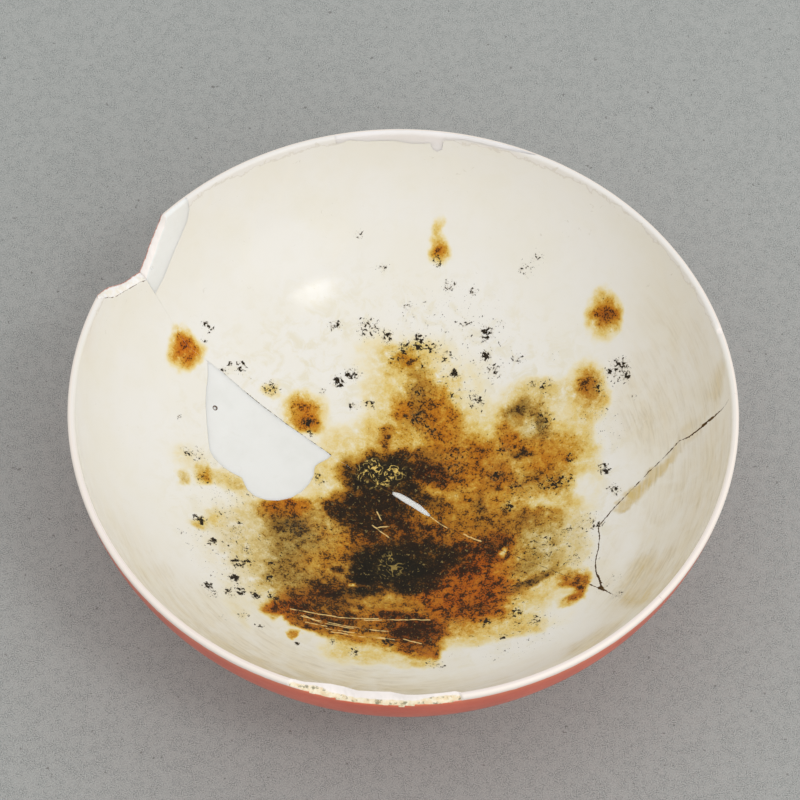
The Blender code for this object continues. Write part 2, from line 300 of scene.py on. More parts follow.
def smooth(low, high, x):
    """0 below low, 1 above high, and a soft step between."""
    t = np.clip((x - low) / (high - low), 0.0, 1.0)
    return t * t * (3 - 2 * t)


# Lines of the breaks, as pixels of the photograph from the rim inwards or along the crack

CHIP_CORNER = (146.5, 279.8)
STRIP_TIP = (155.3, 294.0)
MOON_TIP = (207.5, 360.7)
MOON_END = (331.5, 455.4)
SLIVER_START = (392.2, 494.4)
SLIVER_END = (430.8, 516.1)
JUNCTION = (601.4, 589.0)
CHIP_BACK_AZIMUTH = 139.8
CHIP_FRONT_AZIMUTH = 161.3
STRIP_AZIMUTH = 134.6
BAND_LEFT_AZIMUTH = 104.3
BAND_RIGHT_AZIMUTH = 66.7
SIDE_CRACK_AZIMUTH = 3.0
FRONT_CRACK_AZIMUTH = 319.5

CRACK_BY_STRIP = [CHIP_CORNER, STRIP_TIP]
CRACK_TO_MOON = [STRIP_TIP, (164.5, 309), (169.4, 317.6), (188, 346.4), MOON_TIP]
CRACK_BY_MOON = [
    MOON_TIP, (222.5, 372.1), (235.1, 383), (254.6, 399.7), (268.4, 410.3), (290.2, 426.6),
    (306.3, 437.6), MOON_END,
]
CRACK_TO_SLIVER = [MOON_END, (361, 475), SLIVER_START]
SLIVER_BACK = [
    SLIVER_START, (392.8, 491.9), (399.5, 493.2), (404.6, 495.7), (412.9, 500.8), (420.6, 505.3),
    (427.9, 512.3), SLIVER_END,
]
SLIVER_FRONT = [
    SLIVER_START, (398.3, 498.3), (404.6, 502.4), (414.2, 508.2), (423.8, 514.2), (428, 516), SLIVER_END,
]
CRACK_TO_JUNCTION = [
    SLIVER_END, (439.7, 522.5), (452.5, 530.2), (466.4, 537.6), (484, 544), (500, 550), (545, 567.5),
    (591, 584.5), JUNCTION,
]
FRONT_CRACK = [JUNCTION, (606.7, 591.4), (613.6, 595), (626, 599.5)]
SIDE_CRACK = [
    (729.1, 397.9), (726.3, 403.5), (723.5, 407.7), (717.2, 413.7), (708.1, 421.1), (700.4, 428.1),
    (687.7, 437.5), (679.3, 440.7), (664.6, 456.8), (650.4, 470), (638.9, 482.2), (630.4, 490.6),
    (616.7, 505.1), (608.3, 514.3), (600.6, 523.5), (598.3, 526.5), (599.5, 536.5), (598.3, 548.8),
    (596.4, 555.6), (595.2, 563), (596, 571.5), (599.5, 579.9), JUNCTION,
]
MOON_SWEEP = [
    MOON_TIP, (208.1, 374.4), (206.2, 388.2), (205.5, 404.3), (207, 422.7), (208.1, 437.6), (209.3, 449),
    (213.3, 457.1), (223.6, 467.4), (232.8, 473.2), (242, 477.8), (244.3, 483.5), (247.7, 490.4),
    (254.6, 496.1), (266.1, 500.1), (278.7, 500.7), (291.4, 497.8), (301.7, 491.5), (309.7, 483.5),
    (313.7, 475.5), (314.9, 466.3), (318.9, 463.4), (328, 458.8), MOON_END,
]
STRIP_EDGE = [
    (189.3, 209), (188, 219), (183.1, 231.4), (177.7, 243.8), (172.3, 256.3), (167.3, 269.6),
    (163.2, 278.7), (157.4, 289.5), STRIP_TIP,
]
BAND_EDGE = [
    (337, 143.6), (351.6, 140), (369, 141.5), (393.5, 140.5), (410.8, 143.6), (430.2, 143.6),
    (432.2, 149.7), (437.3, 152.2), (442.4, 149.7), (444, 140.5), (462.9, 139.5), (500.8, 146.6),
]
CHIP_BACK_INSIDE = [(164.5, 228), (160, 240), (154.5, 255), CHIP_CORNER]
CHIP_BACK_OUTSIDE = [(159, 220.6), (154, 233), (149, 244.7), (144.9, 257.9), (138.8, 271.9)]
CHIP_FRONT_INSIDE = [CHIP_CORNER, (140.4, 281.6), (128.9, 288.5), (117.4, 296)]
CHIP_FRONT_OUTSIDE = [(138.8, 271.9), (128.9, 278.7), (120.8, 283.3), (108.2, 286.8)]

# How far apart points lie: along a break, along the rim, and along the rim where it has flaked
LINE_STEP = 0.28
RIM_STEP = 0.42
FINE_RIM_STEP = 0.17
FLAKE_FROM = 250.5
FLAKE_TO = 282.0

# Half the gap between two pieces, where a crack can be seen and where it is closed
HAIRLINE = 0.035
CLOSED = 0.008

# The kinds of edge
CRACK, RIM, CHIP = range(3)


def evenly(points, count):
    """The line through these points, with so many steps of equal length."""
    lengths = np.concatenate([[0.0], np.cumsum(np.linalg.norm(np.diff(points, axis=0), axis=1))])
    at = np.linspace(0.0, lengths[-1], count + 1)
    return np.stack([np.interp(at, lengths, points[:, k]) for k in range(2)], 1), at


def along_the_way(way, values):
    """Values given evenly along a line, at these shares of the way."""
    return np.interp(way, np.linspace(0.0, 1.0, np.size(values)), np.atleast_1d(values))


def broken_line(pixels, seed, waver=0.07, half_gap=HAIRLINE, grime=0.2,
                start=None, end=None, outer=False, count=None):
    """A finely uneven break through these pixels, from and to these azimuths of the rim if given.

    Each point has its place on the bowl laid flat, its half gap and how dark a line is drawn along the
    break there: dirt, with painted shade by the half-moon and along the front chip's inner edge.
    """
    points = laid_flat(pixels, outer)
    if start is not None:
        points = np.vstack([on_rim(start), points])
    if end is not None:
        points = np.vstack([points, on_rim(end)])
    length = np.linalg.norm(np.diff(points, axis=0), axis=1).sum()
    line, at = evenly(points, count or max(3, int(length / LINE_STEP)))
    run = np.gradient(line, axis=0)
    run = run / np.linalg.norm(run, axis=1)[:, None]
    ease_length = 0.8
    waver_size = 2.2
    ease = np.minimum(1.0, np.minimum(at, length - at) / ease_length)
    shift = waver * ease * fractal(at, 0 * at, waver_size, seed, 4)
    line = line + np.stack([-run[:, 1], run[:, 0]], 1) * shift[:, None]
    way = np.linspace(0.0, 1.0, len(line))
    return np.column_stack([line, along_the_way(way, half_gap), along_the_way(way, grime)])


def rim_arc(start, end):
    """The lip's top from one azimuth to another, counter-clockwise, finer where the lip has flaked."""
    azimuths = []
    azimuth = start
    while azimuth < end:
        azimuths.append(azimuth)
        fine = FLAKE_FROM < azimuth < FLAKE_TO
        azimuth += math.degrees((FINE_RIM_STEP if fine else RIM_STEP) / RIM_RADIUS)
    least = 0.3 * math.degrees(FINE_RIM_STEP / RIM_RADIUS)
    if end - azimuths[-1] < least:
        azimuths.pop()
    azimuths = np.radians(azimuths + [end])
    gaps = np.zeros(len(azimuths))
    gaps[[0, -1]] = HAIRLINE
    return np.column_stack([flat_at(TOP, azimuths), gaps, 0 * gaps])


def outline(parts):
    """A closed line from lines end to end: its points and the kind of each edge."""
    points = np.vstack([line[:-1] for line, kind in parts])
    kinds = np.concatenate([np.full(len(line) - 1, kind) for line, kind in parts])
    return points, kinds


def drawn_in(points, kinds):
    """A closed counter-clockwise line, drawn in by each point's half gap along the breaks."""
    tiny = 1e-9
    sharpest = 0.4
    flat = points[:, :2]
    step = np.roll(flat, -1, axis=0) - flat
    step = step / np.maximum(np.linalg.norm(step, axis=1), tiny)[:, None]
    normal = np.stack([-step[:, 1], step[:, 0]], 1) * (kinds != RIM)[:, None]
    total = normal + np.roll(normal, 1, axis=0)
    middle = total / np.maximum(np.linalg.norm(total, axis=1), tiny)[:, None]
    touches_rim = (kinds == RIM) | (np.roll(kinds, 1) == RIM)
    mitre = np.where(touches_rim, 1.0, np.maximum((middle * normal).sum(1), sharpest))
    moved = flat + middle * (points[:, 2] / mitre)[:, None]
    to_top = (TOP / np.hypot(moved[:, 0], moved[:, 1]))[:, None]
    return np.where(touches_rim[:, None], moved * to_top, moved), touches_rim


# Where the surfaces get points

LIP_ROWS = [TOP - drop for drop in (0.17, 0.36, 0.56, 0.78)]
LIP_ROWS += [REACH - drop for drop in (0.0, 0.25, 0.6, 1.05)]
OUTER_ROWS = LIP_ROWS + [REACH - drop for drop in (1.5, 2.0, 2.5, 3.1, 3.8)]
STAIN_REACH = 46.0
FOOT_STEP_DEGREES = 2.2

# Areas of scattered points: how far apart they are, and between which distances from the middle
UPPER_SPREAD = [(0.42, 0.0, STAIN_REACH), (0.8, STAIN_REACH, REACH)]
LOWER_SPREAD = [(1.1, FOOT_LENGTH, REACH), (1.4, 0.0, RECESS_LENGTH)]
ROW_SPACING = 0.866
UNEVENNESS = 0.18
BORDER = 0.35


def scattered(reach, spread, seed):
    """Points in a slightly uneven grid of triangles inside a radius, as far apart as spread says."""
    rng = np.random.default_rng(seed)
    found = []
    for size, low, high in spread:
        rows = int(high / (size * ROW_SPACING)) + 1
        columns = int(high / size) + 1
        j, i = np.mgrid[-rows:rows + 1, -columns:columns + 1]
        u = (i + 0.5 * (j % 2)) * size
        v = j * size * ROW_SPACING
        u = u + rng.uniform(-UNEVENNESS, UNEVENNESS, u.shape) * size
        v = v + rng.uniform(-UNEVENNESS, UNEVENNESS, v.shape) * size
        rho = np.hypot(u, v)
        keep = (rho > low + BORDER * size) & (rho < min(high, reach) - BORDER * size)
        found.append(np.stack([u[keep], v[keep]], 1))
    return found


def rings(rows):
    """Points of circles, laid flat, closer together where the lip has flaked."""
    arc = rim_arc(0.0, 360.0 - math.degrees(RIM_STEP / RIM_RADIUS))
    return [arc[:, :2] * (rho / TOP) for rho in rows]


def upper_points():
    """Where the inside gets points."""
    below_rings = REACH - 1.2
    return np.vstack(rings(LIP_ROWS) + scattered(below_rings, UPPER_SPREAD, 3))


def lower_points():
    """Where the outside gets points."""
    below_rings = REACH - 4.2
    turn = np.radians(np.arange(0.0, 360.0, FOOT_STEP_DEGREES))
    foot = [flat_at(rho, turn) for rho, radius, height in FOOT_RING]
    return np.vstack(rings(OUTER_ROWS) + foot + scattered(below_rings, LOWER_SPREAD, 5))


def within(points, loop):
    """Which points lie inside a closed line, found band by band to be quick."""
    band_height = 0.5
    start, end = loop, np.roll(loop, -1, axis=0)
    low = np.minimum(start[:, 1], end[:, 1])
    high = np.maximum(start[:, 1], end[:, 1])
    band = np.floor((points[:, 1] - low.min()) / band_height).astype(int)
    found = np.zeros(len(points), bool)
    for k in np.unique(band):
        here = band == k
        bottom = low.min() + k * band_height
        near = (low <= bottom + band_height) & (high >= bottom)
        u, v = points[here, 0][:, None], points[here, 1][:, None]
        a, b = start[near], end[near]
        spans = (a[:, 1] > v) != (b[:, 1] > v)
        rise = np.where(a[:, 1] == b[:, 1], 1.0, b[:, 1] - a[:, 1])
        crossing = a[:, 0] + (v - a[:, 1]) * (b[:, 0] - a[:, 0]) / rise
        found[here] = (spans & (u < crossing)).sum(1) % 2 == 1
    return found


def triangles(edge, spread):
    """A closed line filled with triangles: its points, of which the line comes first, and faces."""
    margin = 0.1
    clearance = 0.13
    weld = 1e-7
    low = edge.min(0) - margin
    high = edge.max(0) + margin
    near = spread[((spread > low) & (spread < high)).all(1)]
    near = near[within(near, edge)]
    tree = KDTree(len(edge))
    for i, point in enumerate(edge):
        tree.insert((point[0], point[1], 0.0), i)
    tree.balance()
    clear = [tree.find((p[0], p[1], 0.0))[2] > clearance for p in near]
    points = np.vstack([edge, near[clear]])
    count = len(edge)
    edges = [(i, (i + 1) % count) for i in range(count)]
    out = delaunay_2d_cdt([Vector(p) for p in points], edges, [], 0, weld, False)
    found = np.array([tuple(v) for v in out[0]])
    if len(found) != len(points):
        raise ValueError(f"the outline crosses itself at {found[len(points):][:4].tolist()}")
    faces = np.array(out[2])
    faces = faces[within(points[faces].mean(1), edge)]
    used = np.zeros(len(points), bool)
    used[:count] = True
    used[faces.ravel()] = True
    new = np.cumsum(used) - 1
    a, b, c = (points[faces[:, k]] for k in range(3))
    area = (b[:, 0] - a[:, 0]) * (c[:, 1] - a[:, 1]) - (b[:, 1] - a[:, 1]) * (c[:, 0] - a[:, 0])
    faces = np.where(area[:, None] < 0, faces[:, ::-1], faces)
    return points[used], new[faces]


# The lost flake of the front lip: the edges of its rough face, as pixels

FLAKE_OUTSIDE = [
    (288, 684.5), (291.8, 686.7), (302.9, 690.6), (315.1, 694.4), (328.9, 697.4), (344.2, 701.3),
    (359.5, 703.6), (380, 705.5), (398.2, 706.8), (428, 704.4), (452.9, 702.3), (457.9, 701.5),
]

# White material along the top of the flaked lip, which bulges inward: azimuth and how far
FRONT_BULGE = [
    (252.5, 0), (255, 0.1), (256.8, 0.45), (259.2, 0.78), (261.5, 0.75), (263.9, 0.42), (266.1, 0.55),
    (269.3, 0.68), (271.8, 0.25), (274.2, 0.2), (277.6, 0.28), (280, 0.32), (281, 0),
]

FLAKE_TOP_DROP = 0.12
FLAKE_INSIDE_STEP = 0.2
FLAKE_HOLLOW = 0.12
FLAKE_HOLLOW_DROP = 0.4
FLAKE_EDGE_WAVER = 0.22
FLAKE_END_WAVER = 0.35
BULGE_RISE = 0.25
NICK_AZIMUTH = 16.2
NICK_WIDTH = 0.75
NICK_DEPTH = 0.4


def azimuth_of(flat):
    """Azimuth in degrees from 0 to 360."""
    return np.degrees(polar(flat)[1]) % 360.0


FLAKE_LINE = laid_flat(FLAKE_OUTSIDE, outer=True)
FLAKE_AZIMUTHS = azimuth_of(FLAKE_LINE)
FLAKE_RHOS = polar(FLAKE_LINE)[0]


def flake_edge(azimuth):
    """Flat distance of the flake's lower edge on the outside."""
    rho = np.interp(azimuth, FLAKE_AZIMUTHS, FLAKE_RHOS)
    return np.minimum(rho + FLAKE_EDGE_WAVER * fractal(azimuth, 0 * azimuth, 1.6, 31, 4), REACH + 0.3)


def flake_share(azimuth):
    """1 where the front lip has flaked and 0 elsewhere."""
    edge = azimuth + FLAKE_END_WAVER * fractal(azimuth * 3, 0 * azimuth, 1.0, 37, 3)
    first, last = FLAKE_AZIMUTHS[0], FLAKE_AZIMUTHS[-1]
    return smooth(first - 0.2, first + 0.5, edge) * (1 - smooth(last + 0.2, last + 0.9, edge))


def with_losses(flat, radius, height, outer):
    """The profile's radius and height without the flake and the nick, and how broken each point is."""
    rho = polar(flat)[0]
    azimuth = azimuth_of(flat)
    rough = fractal(flat[:, 0], flat[:, 1], 0.9, 41, 4)
    low = flake_edge(azimuth) if outer else np.full(len(rho), REACH)
    end_radius, end_height = lower_profile(low) if outer else upper_profile(low)
    way = np.clip((TOP - rho) / (TOP - low), 0.0, 1.0)
    hollow = outer * FLAKE_HOLLOW * np.sin(math.pi * way) * (1 + 0.8 * rough)
    start_radius = INSIDE_LIP_RADIUS + FLAKE_INSIDE_STEP
    start_height = RIM_HEIGHT - FLAKE_TOP_DROP
    new_radius = start_radius + way * (end_radius - start_radius) - hollow
    new_height = start_height + way * (end_height - start_height) - FLAKE_HOLLOW_DROP * hollow
    share = flake_share(azimuth) * (rho > low)
    radius = radius + share * (new_radius - radius)
    height = height + share * (new_height - height)
    bulge = np.interp(azimuth, *zip(*FRONT_BULGE))
    bulge = bulge * (1 - way if outer else smooth(REACH - 1.5, REACH - 0.2, rho))
    radius = radius - bulge
    height = height + BULGE_RISE * bulge
    nick = np.exp(-((azimuth - NICK_AZIMUTH) / NICK_WIDTH) ** 2) * smooth(REACH - 0.2, TOP, rho)
    height = height - nick * NICK_DEPTH * (1 + 0.5 * rough)
    return radius, height, np.maximum(share, smooth(0.35, 0.6, nick))


# What lies on the inside. Each dab: where, its two radii, its turn in degrees, softness, and what
# it leaves there: tone from bare glaze at 0 to black at 1, redness, and greyness

DABS = [
    (-40.5, 1.5, 4.5, 3.5, 0, 0.5, 0.1, 0.1, 0.3),
    (-33, -14, 9, 9, 0, 0.6, 0.08, 0.0, 0.8),
    (4, -6, 21, 18.5, 0, 0.3, 0.13, 0.1, 0.1),
    (-16, -17, 12, 11.5, -20, 0.4, 0.12, 0.1, 0.3),
    (19.5, 3.5, 12, 12.5, 0, 0.3, 0.12, 0.1, 0.1),
    (4, 18, 9.5, 11.5, 0, 0.35, 0.12, 0.1, 0.1),
    (4, -5, 22, 18, 0, 0.25, 0.38, 0.25, 0.15),
    (-15, -16, 14, 13, -20, 0.35, 0.38, 0.1, 0.6),
    (21, 2, 14, 14, 0, 0.3, 0.36, 0.25, 0.1),
    (3.8, 16, 8, 13.5, 0, 0.35, 0.28, 0.1, 0.1),
    (-6, 29, 5, 6, 0, 0.5, 0.1, 0.1, 0.15),
    (8, -26, 19, 9, 0, 0.25, 0.45, 0.45, 0.1),
    (21, -31.8, 8, 2.8, 0, 0.5, 0.2, 0.2, 0.0),
    (-7, -38.5, 7, 4.2, 0, 0.35, 0.17, 0.1, 0.0),
    (0.9, 28, 5.4, 2.8, 0, 0.4, 0.32, 0.1, 0.1),
    (0.4, 28.2, 2.8, 1.3, 0, 0.4, 0.48, 0.2, 0.0),
    (-4.6, 21.8, 3.4, 3.0, 0, 0.5, 0.17, 0.1, 0.1),
    (12, 26, 8, 4.5, 0, 0.5, 0.05, 0.1, 0.1),
    (33, 5, 4.5, 7, 0, 0.4, 0.22, 0.1, 0.0),
    (26, 20.3, 5.6, 3.2, 0, 0.4, 0.22, 0.1, 0.3),
    (-44.4, 23.8, 3.5, 3.8, 0, 0.3, 0.38, 0.5, 0.0),
    (-44.2, 24.0, 2.0, 2.4, 0, 0.6, 0.52, 0.9, 0.0),
    (40.6, 34.4, 3.2, 4.0, 0, 0.4, 0.45, 0.4, 0.0),
    (40, 34.2, 2.6, 1.4, 0, 0.5, 0.7, 0.7, 0.1),
    (36.3, 19.8, 3.5, 4.8, 0, 0.5, 0.4, 0.4, 0.15),
    (36.3, 21.2, 2.0, 2.2, 0, 0.7, 0.55, 0.4, 0.2),
    (6.9, 50.2, 1.7, 2.4, 0, 0.6, 0.4, 0.35, 0.0),
    (6.4, 53.4, 0.9, 3.0, -4, 0.7, 0.24, 0.2, 0.0),
    (6.8, 49.6, 0.9, 1.2, 0, 0.6, 0.48, 0.5, 0.0),
    (-18.8, 16.8, 4.1, 3.8, 0, 0.35, 0.36, 0.4, 0.0),
    (-17.6, 17.0, 1.8, 1.8, 0, 0.5, 0.42, 0.6, 0.0),
    (-17.6, 14.2, 2.4, 1.3, -25, 0.4, 0.5, 0.5, 0.1),
    (-26, 20.5, 1.8, 1.5, 0, 0.7, 0.2, 0.2, 0.1),
    (-37, -0.6, 1.7, 1.6, 0, 0.5, 0.36, 0.2, 0.0),
    (-32, -1.0, 3.0, 2.0, 0, 0.6, 0.24, 0.1, 0.3),
    (-41.7, -2.8, 1.2, 1.2, 0, 0.6, 0.3, 0.2, 0.5),
    (-38.3, -12.9, 1.2, 1.0, 0, 0.5, 0.26, 0.1, 0.0),
    (-35.3, -11, 1.5, 2.4, 0, 0.6, 0.2, 0.1, 0.1),
    (-10, 5, 5.5, 6, 0, 0.4, 0.15, 0.1, 0.1),
    (-15.5, 2.5, 3.2, 5, -20, 0.35, 0.17, 0.1, 0.1),
    (-18.6, -1.5, 3.6, 1.8, 35, 0.4, 0.1, 0.1, 0.0),
    (-22.4, -4.9, 5.2, 2.3, 12, 0.3, 0.5, 0.5, 0.0),
    (-23, -5, 3.2, 1.8, 10, 0.5, 0.6, 0.5, 0.0),
    (-20.5, -8.8, 5.8, 2.6, 0, 0.35, 0.6, 0.2, 0.75),
    (-14, -9, 2.5, 2.5, 0, 0.4, 0.4, 0.2, 0.3),
    (-27.5, -11, 2.6, 5.5, 0, 0.5, 0.17, 0.0, 0.6),
    (-26.0, -19.4, 2.6, 3.4, 0, 0.5, 0.15, 0.0, 0.5),
    (-31, -27, 4, 5.5, 0, 0.6, 0.08, 0.0, 0.7),
    (-20, -14, 5, 4, 0, 0.4, 0.48, 0.1, 0.8),
    (-21, -20, 4.5, 4.0, 0, 0.5, 0.44, 0.1, 0.75),
    (-9.5, -11.5, 4.4, 3.6, 30, 0.35, 0.44, 0.25, 0.1),
    (-14.5, -16, 4, 3.4, 0, 0.4, 0.42, 0.2, 0.2),
    (-11.8, -17, 0.9, 0.8, 0, 0.4, 0.85, 0.2, 0.4),
    (-12, -22, 5.0, 3.0, 10, 0.35, 0.66, 0.3, 0.3),
    (-16, -25.4, 5.5, 2.6, 12, 0.35, 0.69, 0.55, 0.2),
    (-19.2, -28.6, 4.8, 2.3, 14, 0.3, 0.7, 0.7, 0.0),
    (-20.6, -30.4, 3.9, 1.7, -24, 0.25, 0.6, 0.8, 0.0),
    (-11, -26.6, 5.0, 1.7, -2, 0.35, 0.68, 0.35, 0.3),
    (-9.2, -24.4, 3.4, 1.6, 0, 0.35, 0.76, 0.3, 0.3),
    (-1, -25.4, 6.5, 2.1, 0, 0.3, 0.5, 0.2, 0.15),
    (-8, -31.4, 11.5, 2.4, -3, 0.3, 0.6, 0.3, 0.05),
    (-12, -29.4, 5.0, 1.4, -5, 0.3, 0.74, 0.4, 0.1),
    (-15.5, -31.6, 1.6, 1.2, 0, 0.4, 0.6, 0.5, 0.2),
    (-5.0, -34.9, 6, 1.6, -5, 0.4, 0.48, 0.3, 0.0),
    (-18.6, -35.6, 0.6, 1.2, -10, 0.4, 0.4, 0.4, 0.0),
    (-29.6, -33.6, 1.6, 5.4, 22, 0.5, 0.1, 0.0, 0.6),
    (3.2, 20, 2.6, 6.0, 0, 0.5, 0.55, 0.1, 0.5),
    (8, 17.2, 5.2, 6.5, 0, 0.5, 0.48, 0.4, 0.0),
    (-0.5, 18.5, 1.8, 2.4, 0, 0.5, 0.46, 0.4, 0.0),
    (-3, 12.3, 1.2, 2.6, 0, 0.4, 0.52, 0.3, 0.2),
    (2.6, 12.8, 2.1, 1.6, -10, 0.4, 0.27, 0.1, 0.0),
    (13.8, 21, 3.8, 4.4, 0, 0.5, 0.08, 0.0, 0.1),
    (15.5, 14.5, 2.6, 3.6, -15, 0.45, 0.17, 0.0, 0.0),
    (18.5, 13, 1.4, 1.8, 0, 0.5, 0.12, 0.0, 0.1),
    (20.8, 12, 2.8, 4.2, 0, 0.4, 0.46, 0.4, 0.1),
    (22.8, 17.6, 2.6, 1.5, 0, 0.5, 0.55, 0.1, 0.8),
    (27, 14.4, 1.8, 3.2, 12, 0.5, 0.52, 0.1, 0.8),
    (24.5, 13.6, 1.2, 2.2, 0, 0.5, 0.22, 0.0, 0.6),
    (12, 8, 7, 4.5, 0, 0.4, 0.52, 0.4, 0.05),
    (28.5, 7, 4.5, 4.5, 0, 0.4, 0.46, 0.4, 0.0),
    (22.8, 8.4, 1.8, 1.0, 0, 0.5, 0.68, 0.2, 0.5),
    (18.2, 4.6, 2.6, 2.2, 0, 0.4, 0.58, 0.5, 0.2),
    (30, 2.3, 3.6, 2.2, 0, 0.5, 0.37, 0.2, 0.2),
    (24.6, 3.0, 2.4, 1.8, 0, 0.5, 0.5, 0.2, 0.3),
    (27.6, -2.2, 2.8, 1.4, 0, 0.4, 0.14, 0.0, 0.1),
    (35.2, -1.0, 2.2, 5, 0, 0.5, 0.05, 0.0, 0.0),
    (8.5, -3.5, 5.5, 4.2, 0, 0.4, 0.55, 0.25, 0.1),
    (15, -1.8, 1.2, 3.2, 0, 0.5, 0.64, 0.2, 0.5),
    (20, -6.5, 8, 3.0, 0, 0.4, 0.52, 0.25, 0.25),
    (24, -6.4, 2.0, 2.4, 0, 0.5, 0.62, 0.3, 0.4),
    (24.5, -9.2, 3.6, 2.4, 0, 0.4, 0.5, 0.2, 0.3),
    (28.0, -13, 5.0, 6.2, 0, 0.35, 0.31, 0.0, 0.6),
    (27.5, -11.5, 1.2, 1.0, 0, 0.5, 0.16, 0.0, 0.4),
    (33.6, -12.5, 3.2, 6, 0, 0.4, 0.16, 0.0, 0.5),
    (23.6, -17.2, 2.4, 1.8, 0, 0.45, 0.42, 0.0, 0.6),
    (25, -21.3, 5.4, 1.0, 28, 0.45, 0.6, 0.1, 0.65),
    (24, -26.5, 3.4, 2.6, 0, 0.4, 0.14, 0.0, 0.0),
    (31, -30, 4, 4, 0, 0.5, 0.05, 0.0, 0.0),
    (33, -21.8, 2.8, 2.0, 0, 0.4, 0.52, 0.5, 0.1),
    (34.0, -25, 1.5, 2.8, -15, 0.4, 0.5, 0.5, 0.1),
    (32.6, -27.2, 1.6, 1.0, 0, 0.4, 0.5, 0.6, 0.1),
    (31.8, -24.8, 1.3, 1.3, 0, 0.5, 0.12, 0.0, 0.0),
    (11, -17.5, 9, 8, 0, 0.25, 0.65, 0.8, 0.0),
    (14, -24, 7.5, 5.0, 0, 0.35, 0.6, 0.8, 0.0),
    (17.6, -11.3, 3.0, 3.1, 0, 0.25, 0.78, 0.6, 0.1),
    (17.2, -10.9, 1.3, 1.2, 0, 0.5, 0.68, 0.7, 0.3),
    (19.3, -12.7, 0.8, 0.5, 30, 0.4, 0.12, 0.1, 0.1),
    (11.2, -13, 2.8, 3.2, 0, 0.35, 0.76, 0.5, 0.1),
    (14.4, -26.2, 2.6, 1.3, 0, 0.5, 0.68, 0.6, 0.1),
    (-1.5, -9, 7.5, 4.0, 0, 0.35, 0.7, 0.5, 0.1),
    (6, -8, 4.5, 2.6, 0, 0.4, 0.64, 0.4, 0.2),
    (5.4, 6.2, 5.0, 2.4, -14, 0.35, 0.8, 0.5, 0.1),
    (3.0, 9.6, 4.5, 1.5, 0, 0.4, 0.64, 0.3, 0.3),
    (-4.4, 4.9, 6.5, 4.5, 0, 0.18, 0.95, 0.1, 0.3),
    (-5.0, -2.6, 7.6, 5.0, 8, 0.15, 0.86, 0.25, 0.2),
    (-11.0, -3.8, 2.6, 2.2, 0, 0.2, 0.84, 0.25, 0.2),
    (2.6, 1.4, 2.6, 2.0, -30, 0.4, 0.9, 0.2, 0.4),
    (5.4, -0.2, 2.4, 1.6, -20, 0.4, 0.78, 0.2, 0.3),
    (1.5, -5.8, 4.2, 1.6, -20, 0.5, 0.74, 0.4, 0.1),
    (0, -15.2, 8.2, 5.2, 0, 0.24, 1.0, 0.0, 0.5),
    (6.5, -12.5, 4.6, 2.4, -10, 0.35, 0.86, 0.2, 0.3),
    (-5.5, -18, 3.4, 2.6, 0, 0.3, 0.97, 0.05, 0.4),
    (1.5, -20.6, 3.4, 1.8, 0, 0.4, 0.92, 0.1, 0.3),
    (-6, -22.6, 4.0, 1.5, 6, 0.3, 0.84, 0.1, 0.3),
    (-8.6, -20.8, 0.7, 0.45, -25, 0.5, 0.08, 0.0, 0.0),
    (-0.5, -28.4, 3.8, 1.1, 0, 0.4, 0.8, 0.6, 0.1),
    (4.0, -32, 5.0, 3.9, 0, 0.2, 0.84, 0.7, 0.0),
    (3.8, -36.3, 4.1, 2.9, -12, 0.3, 0.72, 0.5, 0.0),
    (6.2, -38.4, 1.6, 1.3, 0, 0.5, 0.68, 0.7, 0.0),
    (3.5, -40.8, 4.4, 1.6, 0, 0.6, 0.18, 0.1, 0.1),
]

